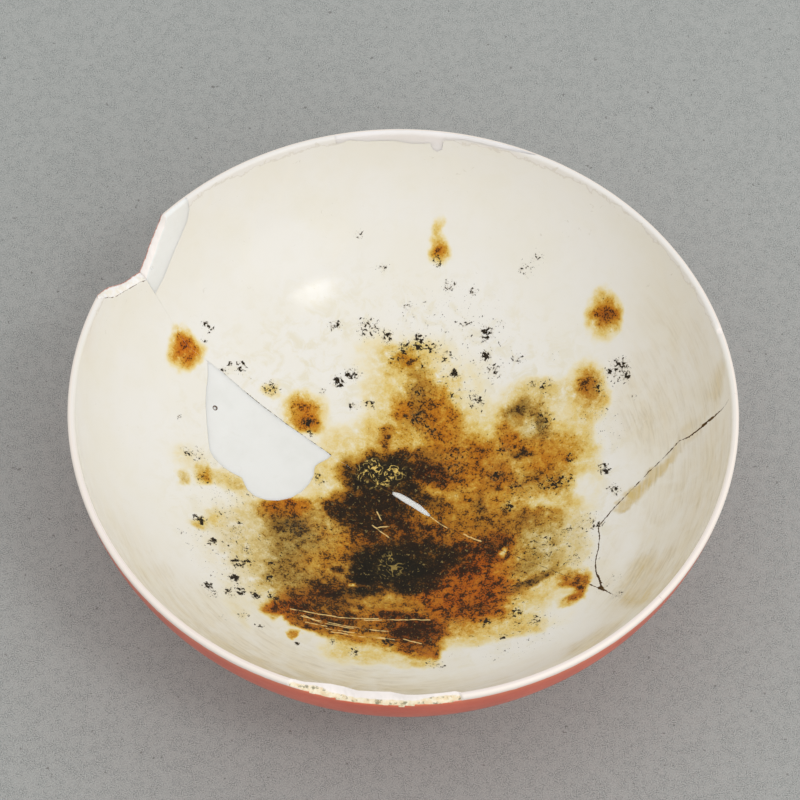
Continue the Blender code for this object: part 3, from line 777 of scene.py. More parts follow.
# Clusters of baked-on specks: where, how wide, how dense
SPECKS = [
    (-14, 34.3, 0.9, 0.8), (-7.2, 34.2, 1.8, 0.7), (-3.5, 32.8, 1.2, 0.7), (-0.3, 30.9, 1.4, 0.9),
    (2.6, 31.8, 1.5, 1.0), (5.2, 30.8, 1.8, 0.6), (-1.4, 28.9, 1.1, 0.8), (16, 33.6, 1.3, 0.9),
    (15.9, 29, 1.0, 0.8), (9.8, 25.8, 0.8, 0.8), (17.6, 26, 1.4, 0.6), (22, 28.2, 1.2, 0.5),
    (14.4, 20.2, 1.3, 0.8), (12, 35.4, 1.0, 0.5), (19, 35.2, 0.6, 0.6), (-13.1, 23.5, 1.0, 1.0),
    (-10, 25, 1.2, 0.8), (-34.6, 23.6, 0.4, 1.0), (-32.3, 23.4, 0.9, 0.8), (-30.8, 21.8, 0.5, 0.5),
    (-26, 20.4, 1.5, 0.7), (-40.4, 30.1, 0.7, 0.7), (-39.2, 29.2, 0.6, 0.8), (-35.6, 22.1, 0.6, 0.6),
    (8.6, 43.1, 1.1, 0.7), (13.2, 42, 0.8, 0.7), (0, 39, 0.9, 0.6), (-5, 46.4, 0.9, 0.6),
    (-10.4, 52.5, 0.6, 0.9), (24, 45.8, 1.3, 0.5), (26.6, 47.4, 1.2, 0.5), (43, 22.9, 2.2, 0.75),
    (41.0, 23.2, 0.9, 1.0), (44.4, 21.4, 0.8, 0.9), (43.6, 24.6, 0.7, 0.9), (39, 3.1, 0.8, 1.1),
    (39.8, 2.2, 0.5, 1.0), (41.2, -2.3, 1.1, 0.8), (28, 1.6, 1.6, 0.8), (31, 1.5, 1.8, 0.8),
    (32.3, 6.5, 0.8, 0.9), (18.2, 4.3, 1.0, 1.0), (20.3, -2.6, 0.9, 1.0), (34.4, -8.8, 0.8, 0.8),
    (36.5, -8.6, 2.0, 0.5), (37.8, -9.6, 0.7, 0.9), (22.2, -28.3, 0.9, 1.1), (22.8, -31, 0.8, 0.8),
    (25.8, -31, 1.0, 0.8), (20, -34.2, 1.1, 0.6), (16.8, -29.8, 1.0, 0.9), (11.5, -29.3, 1.2, 0.7),
    (-38.3, -11.6, 0.9, 1.2), (-35.4, -15.8, 0.7, 1.1), (-28.8, -15.6, 1.1, 0.7),
    (-28.2, -18.8, 1.0, 0.8), (-30.4, -19.6, 1.2, 0.8), (-41.6, -15.7, 0.7, 0.4),
    (-30.9, -23.6, 1.0, 1.15), (-29.6, -26.6, 0.9, 1.2), (-36.1, -27.5, 0.8, 1.1), (-35, -29, 0.8, 0.8),
    (-31.7, -27.6, 1.2, 0.6), (-26.6, -26.8, 0.8, 1.0), (-23.4, -26.3, 1.1, 0.9), (-28.6, -33, 1.0, 0.5),
    (-25.9, -35, 0.6, 0.9), (-33, -35.1, 0.5, 0.5), (-18.4, -38.2, 0.5, 0.9), (-7.8, -38.2, 0.9, 0.9),
    (-7.6, -39.2, 0.5, 0.9), (-12, -35.8, 0.8, 0.7), (-1.3, -35.1, 1.1, 1.0), (8.3, -42, 1.0, 0.5),
    (6.8, -41.2, 1.0, 0.5), (10.7, -38.8, 0.3, 0.8), (-38.8, -1.8, 0.6, 0.9), (-42.2, 3.0, 0.8, 0.8),
    (-39.6, 2.8, 1.4, 0.5), (-40.1, 26.5, 0.6, 0.5), (-43.8, 9.8, 0.3, 0.8), (6.1, 48, 0.8, 0.8),
    (42.4, -29, 0.8, 0.6), (-18.3, 14.3, 0.8, 1.2), (-17.8, 12.2, 0.5, 0.9), (-15.8, 21, 0.5, 0.7),
    (-24.3, -21.6, 0.8, 0.8), (-24, -18, 0.5, 0.9), (38.6, -25.7, 0.5, 0.9), (2.5, 17, 1.6, 0.7),
    (2.4, 22, 1.4, 0.7), (28, 22, 1.5, 0.6), (25.3, 22.8, 0.8, 0.7), (27, 15, 2.2, 0.6),
    (38.4, 20.5, 1.3, 0.7), (27.8, -13, 3.5, 0.45), (32, -10.5, 1.6, 0.55), (33, -17, 2.2, 0.45),
    (40.8, -24, 1.2, 0.4), (19.8, 10.5, 1.4, 0.6), (8, 29.4, 1.0, 0.6), (10.5, 21.5, 1.4, 0.4),
    (-16, 2.8, 1.6, 0.5), (-27, -2.6, 1.6, 0.4), (-33, -8.5, 2.6, 0.35), (-31, -11.8, 2.0, 0.45),
    (-9.8, 18.8, 0.7, 0.8), (-6.8, 19.2, 0.9, 0.7), (30, 28, 0.8, 0.3), (45.8, 16.3, 0.5, 0.5),
    (10, 8, 3.0, 0.5), (5, 14, 2.2, 0.5), (22, 1.5, 2.6, 0.55), (-14, -9, 3.0, 0.5), (-19, -9, 3.4, 0.6),
    (22, -21, 3.0, 0.5), (8, 30, 11, 0.16), (-29, -17, 9, 0.22), (30, -14, 7, 0.22), (-34, -3, 6, 0.18),
    (38, 12, 6, 0.12), (22, -33, 8, 0.14),
]

# Where the right sherd and the walls are toned, and where on the right and front walls the washes also
# paint in their shade: place, two radii, turn, softness, strength
WASHES_AND_SHADE = [
    (62, -12, 14, 15, 15, 0.5, 0.34),
    (50, -28, 11, 14, 35, 0.5, 0.34),
    (44.6, -5.0, 3.4, 1.5, 24, 0.1, 0.85),
    (49.0, -2.0, 4.6, 1.3, 38, 0.1, 0.85),
    (53.5, 1.6, 4.0, 0.9, 42, 0.1, 0.85),
    (58.2, 4.6, 4.5, 1.4, 34, 0.2, 0.75),
    (67.2, 10.0, 4.6, 2.9, 38, 0.3, 0.85),
    (62.5, 6.8, 5.0, 1.2, 38, 0.3, 0.55),
    (48.3, -23.6, 3.6, 2.6, 30, 0.4, 0.75),
    (47.5, -33, 6.0, 3.0, -40, 0.35, 0.75),
    (38.5, -43.5, 6.0, 3.4, 30, 0.25, 0.62),
    (48, -28.5, 4.6, 5.0, 20, 0.3, 0.6),
    (51, 14.5, 8, 7, 30, 0.6, 0.55),
    (55, -38, 3.0, 8.0, -38, 0.4, 0.5),
    (43.4, -17.0, 2.4, 5.5, -10, 0.4, 0.06),
    (54, -17.5, 2.4, 7.0, -20, 0.4, 0.12),
    (-24, -43, 20, 9, -22, 0.6, 0.26),
    (0, -58, 48, 15, 0, 0.6, 0.26),
    (-36, -50, 34, 15, -38, 0.6, 0.32),
    (-16, -58, 26, 10, -8, 0.6, 0.6),
    (58, 19, 12, 17, 20, 0.6, 0.22),
]

# The bubble pits of the fills, as pixels, with their radii in millimetres and how dirty they are
PITS = [((215, 408), 0.42, 1.0), ((152, 268), 0.35, 0.35)]
PIT_DEPTH = 0.3

# Flaky crusts on the stain: place, two radii, strength
CRUSTS = [(-3.7, 5.2, 4.6, 3.0, 1.0), (-1.6, -15.4, 2.8, 3.2, 0.4)]

# Scratches through the stain, on the bowl laid flat
SCRATCHES = [
    [(-20, -28.6), (-11, -29.2), (-3.5, -28.7)],
    [(-6, -29.3), (1, -28.8), (6.2, -28.7)],
    [(-17.4, -29.7), (-14, -31.3), (-8, -31.9)],
    [(-15.8, -30.6), (-9, -31.4), (-1.2, -32.1)],
    [(-13.2, -32.7), (-7, -33.2), (-0.3, -34.3)],
    [(-12, -33.4), (-6, -33.9), (-2, -34.2)],
    [(-17, -31.6), (-13, -32.2)],
    [(1.3, -34.2), (4.8, -35.2)],
    [(-18.6, -29.9), (-15.4, -30.4)],
    [(-5.2, -6.4), (-1.6, -9.1)],
    [(-4.2, -6.9), (-2.2, -6.3)],
    [(-4.4, -3.2), (-3.4, -5.0)],
    [(5.8, -4.0), (9.2, -6.6)],
    [(12, -8), (15.5, -10)],
]


# How the edges of dabs and specks waver: how far, the noise's size, its seeds across and back, octaves
DAB_WAVERS = [(1.2, 7.0, 51, 71, 5), (0.9, 1.8, 61, 81, 3)]
SPECK_WAVERS = [(0.3, 1.4, 91, 95, 3)]


def wavered(flat, wavers):
    """Coordinates laid flat, shifted by noise."""
    shifted = [flat[:, 0], flat[:, 1]]
    for reach, size, *seeds, octaves in wavers:
        for k in range(2):
            shifted[k] = shifted[k] + reach * fractal(flat[:, 0], flat[:, 1], size, seeds[k], octaves)
    return shifted


def dabbed(flat, dabs, columns):
    """Fields painted dab by dab over points laid flat, whose edges waver as dried liquid does."""
    u, v = wavered(flat, DAB_WAVERS)
    fields = np.zeros((len(flat), columns))
    for at_u, at_v, wide, high, turn, soft, *values in dabs:
        c, s = math.cos(math.radians(turn)), math.sin(math.radians(turn))
        du = (u - at_u) * c + (v - at_v) * s
        dv = (v - at_v) * c - (u - at_u) * s
        away = np.hypot(du / wide, dv / high)
        soft = min(0.95, 0.15 + 1.5 * soft)
        share = 1 - smooth(1 - soft, 1 + soft, away)
        fields += share[:, None] * (np.array(values) - fields)
    return fields


def speck_field(flat):
    """How densely specks lie, cluster by cluster."""
    u, v = wavered(flat, SPECK_WAVERS)
    field = np.zeros(len(flat))
    for at_u, at_v, size, density in SPECKS:
        away = np.hypot(u - at_u, v - at_v) / (1.3 * size + 0.25)
        field = np.maximum(field, density * (1 - smooth(0.25, 1.35, away)))
    return field


def crust_field(flat):
    """How strongly a flaky crust lies there, from 0 to 1."""
    u, v = flat[:, 0], flat[:, 1]
    waver = 0.25 * fractal(u, v, 2.0, 101, 3)
    field = np.zeros(len(flat))
    for at_u, at_v, wide, high, strength in CRUSTS:
        away = np.hypot((u - at_u) / wide, (v - at_v) / high)
        field = np.maximum(field, strength * (1 - smooth(0.75, 1.15, away + waver)))
    return field


def pit_field(flat):
    """0 away from the pits, rising to 1 at their middles, and a ring that is 1 at their edges."""
    deep = np.zeros(len(flat))
    edge = np.zeros(len(flat))
    for middle, size, dirty in PLACED_PITS:
        away = np.hypot(flat[:, 0] - middle[0], flat[:, 1] - middle[1]) / size
        deep = np.maximum(deep, 1 - smooth(0.45, 1.0, away))
        edge = np.maximum(edge, dirty * np.exp(-((away - 0.95) / 0.3) ** 2))
    return deep, edge


def round_pits(points):
    """Points without those close to a pit, and with rings of points close enough to shape it."""
    clearance = 1.0
    rings_about = []
    for middle, size, dirty in PLACED_PITS:
        points = points[np.hypot(points[:, 0] - middle[0], points[:, 1] - middle[1]) > clearance]
        for share in (0.0, 0.3, 0.55, 0.8, 1.05, 1.35, 1.7):
            count = max(1, int(20 * share))
            turn = np.arange(count) * 2 * math.pi / count + share
            rings_about.append(middle + flat_at(size * share, turn))
    return np.vstack([points] + rings_about)


PLACED_PITS = [(laid_flat([pixel])[0], size, dirty) for pixel, size, dirty in PITS]
UPPER_POINTS = round_pits(upper_points())
LOWER_POINTS = lower_points()

# Heights of the relief on the inside: of glaze, stain and crust, and of a fill and its pits' rims
GLAZE_RIPPLE = 0.02
STAIN_RELIEF = 0.05
CRUST_RELIEF = 0.16
FILL_RIPPLE = 0.012
PIT_RIM = 0.03


def upper_shape(flat, proud):
    """Where points of the inside lie in space, and how broken each is."""
    rho, azimuth = polar(flat)
    radius, height, broken = with_losses(flat, *upper_profile(rho), False)
    u, v = flat[:, 0], flat[:, 1]
    stain = dabbed(flat, DABS, 3)[:, 0]
    deep, edge = pit_field(flat)
    lift = GLAZE_RIPPLE * fractal(u, v, 9.0, 111, 2)
    lift = lift + STAIN_RELIEF * smooth(0.6, 1.0, stain) * (1 + fractal(u, v, 1.3, 121, 4))
    lift = lift + crust_field(flat) * CRUST_RELIEF * (1 - np.abs(fractal(u, v, 1.5, 131, 4)) * 2.2)
    lift = lift * (1 - smooth(REACH - 1.0, REACH, rho))
    if proud:
        lift = proud + FILL_RIPPLE * fractal(u, v, 6.0, 141, 3) - PIT_DEPTH * deep + PIT_RIM * edge
    return in_space(radius, azimuth, height) + inward(flat) * lift[:, None], broken


def lower_shape(flat):
    """Where points of the outside lie in space, and how broken each is."""
    rho, azimuth = polar(flat)
    radius, height, broken = with_losses(flat, *lower_profile(rho), True)
    return in_space(radius, azimuth, height), broken


# One piece of the bowl as a mesh

EDGE_DROP = 0.03
WALL_ROWS = 3
WALL_GRIME = 0.85
CHIP_ROWS = 9
CHIP_ROW_STEP = 0.16
CHIP_GRIME = 0.04
CHIP_ROUGHNESS = 0.1
CHIP_RIDGE = 0.22
SHARP_DEGREES = 55
JUST_BEYOND = 0.01
INSIDE, OUTSIDE, BROKEN, UNDERSIDE = range(4)


def down_the_break(i, top, bottom, chip):
    """Points down the broken face below point i of the edge, with each one's share of the depth."""
    steps = CHIP_ROWS if chip else WALL_ROWS
    for k in range(1, steps):
        share = k / steps
        point = top + (bottom - top) * share
        if chip:
            rough = fractal(np.array([i * LINE_STEP]), np.array([k * CHIP_ROW_STEP]), 0.5, 161, 3)[0]
            rise = CHIP_RIDGE * share * (1 - share) * 4
            rise += CHIP_ROUGHNESS * rough * math.sin(math.pi * share)
            point = point + np.array([0.0, 0.0, 1.0]) * rise
        yield point, share


def faces_between(left, right):
    """Triangles between two neighbouring columns of points."""
    faces = []
    a = b = 0
    while a < len(left) - 1 or b < len(right) - 1:
        left_next = (a + 1) / max(len(left) - 1, 1)
        right_next = (b + 1) / max(len(right) - 1, 1)
        if b == len(right) - 1 or (a < len(left) - 1 and left_next <= right_next):
            faces.append((left[a], left[a + 1], right[b]))
            a += 1
        else:
            faces.append((left[a], right[b + 1], right[b]))
            b += 1
    return [face for face in faces if len(set(face)) == 3]


def mesh_of(name, space, faces, surface, materials):
    """A mesh of these points and triangles, each with its material's number."""
    mesh = bpy.data.meshes.new(name)
    mesh.vertices.add(len(space))
    mesh.vertices.foreach_set("co", (space * MM).astype(np.float32).ravel())
    mesh.loops.add(len(faces) * 3)
    mesh.loops.foreach_set("vertex_index", faces.astype(np.int32).ravel())
    mesh.polygons.add(len(faces))
    mesh.polygons.foreach_set("loop_start", np.arange(len(faces), dtype=np.int32) * 3)
    mesh.polygons.foreach_set("material_index", surface.astype(np.int32))
    mesh.polygons.foreach_set("use_smooth", np.ones(len(faces), bool))
    mesh.update()
    mesh.validate()
    for material in materials:
        mesh.materials.append(material)
    return mesh


def add_fields(mesh, flat, **fields):
    """Gives a mesh the fields that its materials read."""
    stain, rust, soot = dabbed(flat, DABS, 3).T
    rho, azimuth = polar(flat)
    fields |= {
        "stain": stain,
        "rust": rust,
        "soot": soot,
        "specks": speck_field(flat),
        "wash_and_shade": dabbed(flat, WASHES_AND_SHADE, 1)[:, 0],
        "crust": crust_field(flat),
        "pit": pit_field(flat)[1],
        "below_lip": TOP - rho,
    }
    for key, value in fields.items():
        made = mesh.attributes.new(key, "FLOAT", "POINT")
        made.data.foreach_set("value", value.astype(np.float32))
    vectors = {
        "laid_flat": [flat[:, 0], flat[:, 1], 0 * azimuth],
        "round_about": [rho, azimuth * RIM_RADIUS, 0 * azimuth],
    }
    for key, value in vectors.items():
        made = mesh.attributes.new(key, "FLOAT_VECTOR", "POINT")
        made.data.foreach_set("vector", np.column_stack(value).astype(np.float32).ravel())


def added(name, data):
    """A new object of the scene."""
    shape = bpy.data.objects.new(name, data)
    bpy.context.scene.collection.objects.link(shape)
    return shape


def piece(name, parts, materials, proud=0.0, low_parts=None):
    """A piece of the bowl with its inside, its outside and its broken edges, as one closed mesh.

    Points of the outside follow those of the inside, and share them along the lip.
    """
    points, kinds = outline(parts)
    edge, touches = drawn_in(points, kinds)
    low_edge = drawn_in(outline(low_parts or parts)[0], kinds)[0]
    count = len(edge)
    upper_flat, upper_faces = triangles(edge, UPPER_POINTS)
    lower_flat, lower_faces = triangles(low_edge, LOWER_POINTS)
    upper_space, upper_broken = upper_shape(upper_flat, proud)
    lower_space, lower_broken = lower_shape(lower_flat)
    drop = EDGE_DROP * (0.6 + 0.8 * np.abs(fractal(edge[:, 0], edge[:, 1], 0.8, 151, 2)))
    drop = drop * np.clip(points[:, 2] / HAIRLINE - 0.2, 0.0, 1.0)
    upper_space[:count] -= inward(edge) * (drop * ~touches)[:, None]

    new = np.arange(len(lower_flat)) + len(upper_flat)
    new[:count] = np.where(touches, np.arange(count), new[:count])
    lower_faces = new[lower_faces][:, ::-1]
    total = len(upper_flat) + len(lower_flat)
    chip = (kinds == CHIP) | (np.roll(kinds, 1) == CHIP)
    columns = [[i] for i in range(count)]
    middle = []
    for i in np.flatnonzero(~touches):
        for point, share in down_the_break(i, upper_space[i], lower_space[i], chip[i]):
            columns[i].append(total + len(middle))
            middle.append([*point, *edge[i], share, CHIP_GRIME if chip[i] else WALL_GRIME])
        columns[i].append(new[i])
    middle = np.array(middle)
    walls = []
    for i in np.flatnonzero(kinds != RIM):
        walls += faces_between(columns[i], columns[(i + 1) % count])

    space = np.vstack([upper_space, lower_space, middle[:, :3]])
    flat = np.vstack([upper_flat, lower_flat, middle[:, 3:5]])
    faces = np.vstack([upper_faces, lower_faces, walls])
    under = (polar(flat)[0] < FOOT_LENGTH + JUST_BEYOND)[lower_faces].all(1)
    surface = np.concatenate([
        np.full(len(upper_faces), INSIDE),
        np.where(under, UNDERSIDE, OUTSIDE),
        np.full(len(walls), BROKEN),
    ])
    grime = np.zeros(len(flat))
    grime[:count] = points[:, 3] * ~touches
    grime[total:] = middle[:, 6]
    broken = np.concatenate([upper_broken, lower_broken, np.ones(len(middle))])
    depth = np.concatenate([np.zeros(len(upper_flat)), np.ones(len(lower_flat)), middle[:, 5]])
    mesh = mesh_of(name, space, faces, surface, materials)
    add_fields(mesh, flat, grime=grime, broken=broken, share_of_depth=depth)
    mesh.set_sharp_from_angle(angle=math.radians(SHARP_DEGREES))
    shape = added(name, mesh)
    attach(shape, "root")
    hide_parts(name)
    shape.name = name + "_surface"


# Materials


def srgb(red, green, blue):
    """A colour as it looks on a screen, from 0 to 255, for a shader."""
    def linear(c):
        c = c / 255
        return c / 12.92 if c <= 0.04045 else ((c + 0.055) / 1.055) ** 2.4
    return linear(red), linear(green), linear(blue), 1.0


def operator(operation):
    """A method that adds the node for this operation on two numbers of a shader."""
    def apply(self, other=0.0):
        made = self.shader.node("ShaderNodeMath", {0: self, 1: other}, operation=operation)
        return Value(self.shader, made.outputs[0])
    return apply


class Value:
    """A number in a shader. Arithmetic with it adds the nodes that work it out."""

    __add__ = operator("ADD")
    __sub__ = operator("SUBTRACT")
    __mul__ = operator("MULTIPLY")
    __truediv__ = operator("DIVIDE")
    __abs__ = operator("ABSOLUTE")
    at_least = operator("MAXIMUM")

    def __init__(self, shader, socket):
        self.shader = shader
        self.socket = socket

    def clamped(self):
        """The same number, kept from 0 to 1."""
        self.socket.node.use_clamp = True
        return self

    def step(self, low, high, out_low=0.0, out_high=1.0):
        """A soft step from one number to the other where this one goes from low to high."""
        inputs = {0: self, 1: low, 2: high, 3: out_low, 4: out_high}
        made = self.shader.node("ShaderNodeMapRange", inputs, interpolation_type="SMOOTHSTEP")
        return Value(self.shader, made.outputs[0])


# How far apart in space, in millimetres, noises of one kind lie
NOISE_APART = (31.0, 17.0, 43.0)


class Shader:
    """A material, the colour it has so far, and short ways to add its nodes."""

    def __init__(self, name, colour):
        self.material = bpy.data.materials.new(name)
        self.material.use_nodes = True
        self.tree = self.material.node_tree
        self.surface = self.tree.nodes["Principled BSDF"]
        self.colour = colour
        place = self.tree.nodes.new("ShaderNodeTexCoord").outputs["Object"]
        self.place = self.vector("SCALE", place, Scale=1 / MM)

    def feed(self, socket, value):
        """Links an input to what feeds it, or sets it to a constant."""
        value = getattr(value, "socket", value)
        if isinstance(value, bpy.types.NodeSocket):
            self.tree.links.new(value, socket)
        else:
            socket.default_value = value

    def node(self, kind, inputs, **settings):
        made = self.tree.nodes.new(kind)
        for key, value in settings.items():
            setattr(made, key, value)
        for key, value in inputs.items():
            self.feed(made.inputs[key], value)
        return made

    def vector(self, operation, a, b=(0.0, 0.0, 0.0), **inputs):
        made = self.node("ShaderNodeVectorMath", {0: a, 1: b, **inputs}, operation=operation)
        if operation in ("DOT_PRODUCT", "LENGTH"):
            return Value(self, made.outputs["Value"])
        return made.outputs["Vector"]

    def part(self, vector, axis):
        """One coordinate of a vector."""
        return Value(self, self.node("ShaderNodeSeparateXYZ", {0: vector}).outputs[axis])

    def noise(self, size, detail=4.0, rough=0.55, warp=0.0, w=0.0, place=None):
        """Noise with features of this size in millimetres. Each w gives other noise of the kind."""
        inputs = {
            "Vector": self.vector("ADD", place or self.place, [w * apart for apart in NOISE_APART]),
            "Scale": 1 / size,
            "Detail": detail,
            "Roughness": rough,
            "Distortion": warp,
        }
        return Value(self, self.node("ShaderNodeTexNoise", inputs).outputs["Fac"])

    def mix(self, share, a, b):
        made = self.node("ShaderNodeMix", {}, data_type="RGBA", clamp_factor=True)
        sockets = {socket.identifier: socket for socket in made.inputs}
        for key, value in (("Factor_Float", share), ("A_Color", a), ("B_Color", b)):
            self.feed(sockets[key], value)
        return next(socket for socket in made.outputs if socket.identifier == "Result_Color")

    def paint(self, share, colour):
        """Lays a colour over the one so far."""
        self.colour = self.mix(share, self.colour, colour)

    def ramp(self, value, positions, colours):
        made = self.node("ShaderNodeValToRGB", {0: value})
        elements = made.color_ramp.elements
        while len(elements) < len(positions):
            elements.new(0.5)
        for element, position, colour in zip(elements, positions, colours):
            element.position = position
            element.color = srgb(*colour)
        return made.outputs["Color"]

    def attribute(self, name, output):
        return self.node("ShaderNodeAttribute", {}, attribute_name=name).outputs[output]

    def field(self, name):
        return Value(self, self.attribute(name, "Fac"))

    def broken(self):
        return self.field("broken").step(0.4, 0.6)

    def paint_dirt_and_shade(self, colour):
        """Dirt along the edges, with painted shade by the half-moon and along the front chip's inner edge:
        its line is broken, and wider where more has gathered.
        """
        ragged = (self.noise(0.9, 4.0, 0.6, w=37.0) - 0.5) * 0.75
        self.paint((self.field("grime") + ragged).step(0.46, 0.62), colour)

    def paint_edge_of_break(self):
        """The coral's thin edge, and the brown line beside it, along the outer side of a break."""
        line = self.field("share_of_depth") + (self.noise(0.9) - 0.5) * 0.3
        self.paint(line.step(0.8, 0.9, 0.0, 0.8), srgb(206, 130, 106))
        self.paint(line.step(0.9, 0.98, 0.0, 0.85), srgb(120, 66, 50))

    def finish(self, roughness, height, depth, **constants):
        """Puts the colour, the roughness and the relief, of a depth in millimetres, on the surface."""
        self.feed(self.surface.inputs["Base Color"], self.colour)
        self.feed(self.surface.inputs["Roughness"], roughness)
        for key, value in constants.items():
            self.surface.inputs[key.replace("_", " ")].default_value = value
        bump = self.node("ShaderNodeBump", {"Strength": 1.0, "Distance": depth * MM, "Height": height})
        self.feed(self.surface.inputs["Normal"], bump.outputs["Normal"])
        return self.material


# The dried liquid's colours from the bare glaze to its darkest, where it is ochre, red and grey,
# and those of its grains
TINT_STOPS = [0.0, 0.08, 0.2, 0.34, 0.48, 0.64, 0.8, 1.0]
BARE = (235, 232, 224)
STAIN_TINTS = [
    [BARE, (234, 224, 190), (224, 200, 122), (200, 158, 54), (176, 120, 18), (130, 82, 10), (80, 50, 12),
     (46, 34, 16)],
    [BARE, (238, 222, 182), (232, 188, 98), (212, 138, 36), (192, 100, 8), (158, 70, 4), (98, 42, 8),
     (48, 26, 12)],
    [BARE, (226, 217, 192), (206, 189, 142), (176, 152, 88), (142, 116, 52), (98, 78, 32), (62, 52, 26),
     (36, 32, 20)],
]
GRAIN_STOPS = [0.15, 0.4, 0.62, 0.85, 1.0]
GRAIN_TINTS = [(150, 108, 36), (104, 66, 16), (58, 40, 14), (32, 26, 14), (22, 20, 12)]


def paint_washes_and_shade(shader, laid):
    """The glaze's faint mottling and brush marks, the washes, which on the right and front walls are
    partly painted shade, and small scuffs.
    """
    streaks = shader.noise(3.2, 5.0, 0.6, 0.6, place=shader.vector("MULTIPLY", laid, (1.0, 0.22, 1.0)))
    shader.paint(shader.noise(14.0, 3.0, 0.5).step(0.35, 0.68), srgb(235, 232, 222))
    shader.paint(streaks.step(0.5, 0.85, 0.0, 0.35), srgb(240, 236, 224))

    round_about = shader.attribute("round_about", "Vector")
    brushed = shader.vector("MULTIPLY", round_about, (1.0, 0.12, 1.0))
    finely_brushed = shader.vector("MULTIPLY", round_about, (1.0, 0.1, 1.0))
    brush_marks = shader.noise(1.7, 5.0, 0.6, 0.7, 2.0, brushed).step(0.32, 0.66, 0.74, 1.15)
    broad = shader.noise(5.0, 4.0, 0.6, 0.5, 7.0).step(0.34, 0.62, 0.7, 1.15)
    wash_and_shade = (shader.field("wash_and_shade") * brush_marks * broad).clamped()
    scrubbed = shader.noise(0.6, 4.0, 0.65, 0.5, 71.0, finely_brushed).step(0.42, 0.7, 0.0, 0.36)
    # The tan wash: real toning along the right sherd's join, and painted shade on the right and front
    # walls
    shader.paint(wash_and_shade, srgb(210, 187, 128))
    shader.paint(scrubbed * wash_and_shade.step(0.06, 0.4), srgb(184, 172, 144))

    cloudy = shader.noise(3.4, 5.0, 0.65, 0.6, 53.0).step(0.46, 0.66, 0.0, 0.5)
    cloudy = cloudy * shader.vector("LENGTH", laid).step(34.0, 52.0, 1.0, 0.12)
    scuffs = shader.noise(1.3, 5.0, 0.7, 1.0, 59.0).step(0.64, 0.7, 0.0, 0.35)
    scuffs = scuffs * shader.noise(9.0, 2.0, w=61.0).step(0.45, 0.6)
    shader.paint(cloudy, srgb(222, 213, 180))
    shader.paint(scuffs, srgb(186, 178, 158))


def paint_stain(shader):
    """The dried liquid: a clear tint and dark grains on it. Returns how dark it is, from 0 to 1."""
    tone = shader.field("stain")
    there = tone.step(0.0, 0.34)
    broad = shader.noise(4.2, 5.0, 0.6, 0.6) - 0.5
    fine = shader.noise(1.3, 4.0, 0.62, 0.3, 3.0) - 0.5
    grain = shader.noise(0.34, 3.0, 0.62, w=5.0) - 0.5
    uneven = (broad * 0.85 + fine * 0.55) * there
    level = (tone + uneven).clamped()
    pale = (grain + fine * 0.5) * 0.3
    tint = (tone + uneven * 0.7 + pale * there).clamped()
    rust = (shader.field("rust") + broad * 0.4).clamped()
    soot = (shader.field("soot") - broad * 0.6).clamped()
    ochre, red, grey = (shader.ramp(tint, TINT_STOPS, tints) for tints in STAIN_TINTS)
    tinted = shader.mix(soot, shader.mix(rust, ochre, red), grey)
    shader.paint(level.step(0.01, 0.12), tinted)

    needed = level * -0.6 + 0.385
    grains = grain + fine * 0.6 - needed
    cover = grains.step(-0.02, 0.05) * level.step(0.12, 0.6, 0.75, 1.0)
    dark = shader.ramp(level, GRAIN_STOPS, GRAIN_TINTS)
    shader.paint(cover, shader.mix(rust * 0.5, dark, srgb(68, 30, 8)))
    return level


def paint_crust(shader, level):
    """The crusts with their torn pale ridges, and pale flecks in the dark stain. Returns the ridges."""
    crust = shader.field("crust")
    ridges = abs(shader.noise(2.6, 2.0, 0.5, 1.6, 11.0) - 0.5).step(0.02, 0.05, 1.0, 0.0)
    torn = shader.noise(0.8, 3.0, 0.6, w=13.0).step(0.4, 0.52)
    ridges = (ridges * (torn * crust)).clamped()
    flecks = shader.noise(0.5, 2.0, 0.5, 0.5, 17.0).step(0.64, 0.7) * level.step(0.5, 0.9, 0.0, 0.5)
    shader.paint(crust * 0.8, srgb(38, 33, 20))
    shader.paint(ridges, srgb(222, 190, 104))
    shader.paint(flecks, srgb(176, 152, 92))
    return ridges


def paint_specks(shader, level):
    """Baked-on specks in their clusters, strays and dust round them. Returns where they are."""
    specks = shader.field("specks")
    spatter = shader.noise(0.68, 4.0, 0.62, 0.5, 23.0) * 0.7 + shader.noise(1.6, 3.0, 0.6, 0.6, 25.0) * 0.3
    clustered = (spatter + specks * 0.17).step(0.645, 0.668) * specks.step(0.02, 0.1)
    stray = shader.noise(0.65, 4.0, 0.62, 0.4, 29.0) + level.step(0.15, 0.8) * 0.05
    stray = stray.step(0.66, 0.71) * level.step(0.1, 0.3, 0.0, 0.9)
    dust = shader.noise(0.36, 2.0, 0.6, 0.4, 67.0) + specks * 0.1
    dust = dust.step(0.7, 0.73) * specks.step(0.03, 0.12)
    speck = clustered.at_least(stray).at_least(dust)
    halo = specks.step(0.25, 0.9, 0.0, 0.65) * spatter.step(0.44, 0.6)
    shader.paint(halo, srgb(160, 134, 86))
    shader.paint(speck, srgb(40, 31, 17))
    return speck


def distance_from_line(shader, place, start, end):
    """Distance in millimetres from a straight line on the bowl laid flat."""
    along = (float(end[0]) - start[0], float(end[1]) - start[1], 0.0)
    away = shader.vector("SUBTRACT", place, (float(start[0]), float(start[1]), 0.0))
    share = (shader.vector("DOT_PRODUCT", away, along) / (along[0] ** 2 + along[1] ** 2)).clamped()
    nearest = shader.vector("SCALE", along, Scale=share)
    return shader.vector("LENGTH", shader.vector("SUBTRACT", away, nearest))


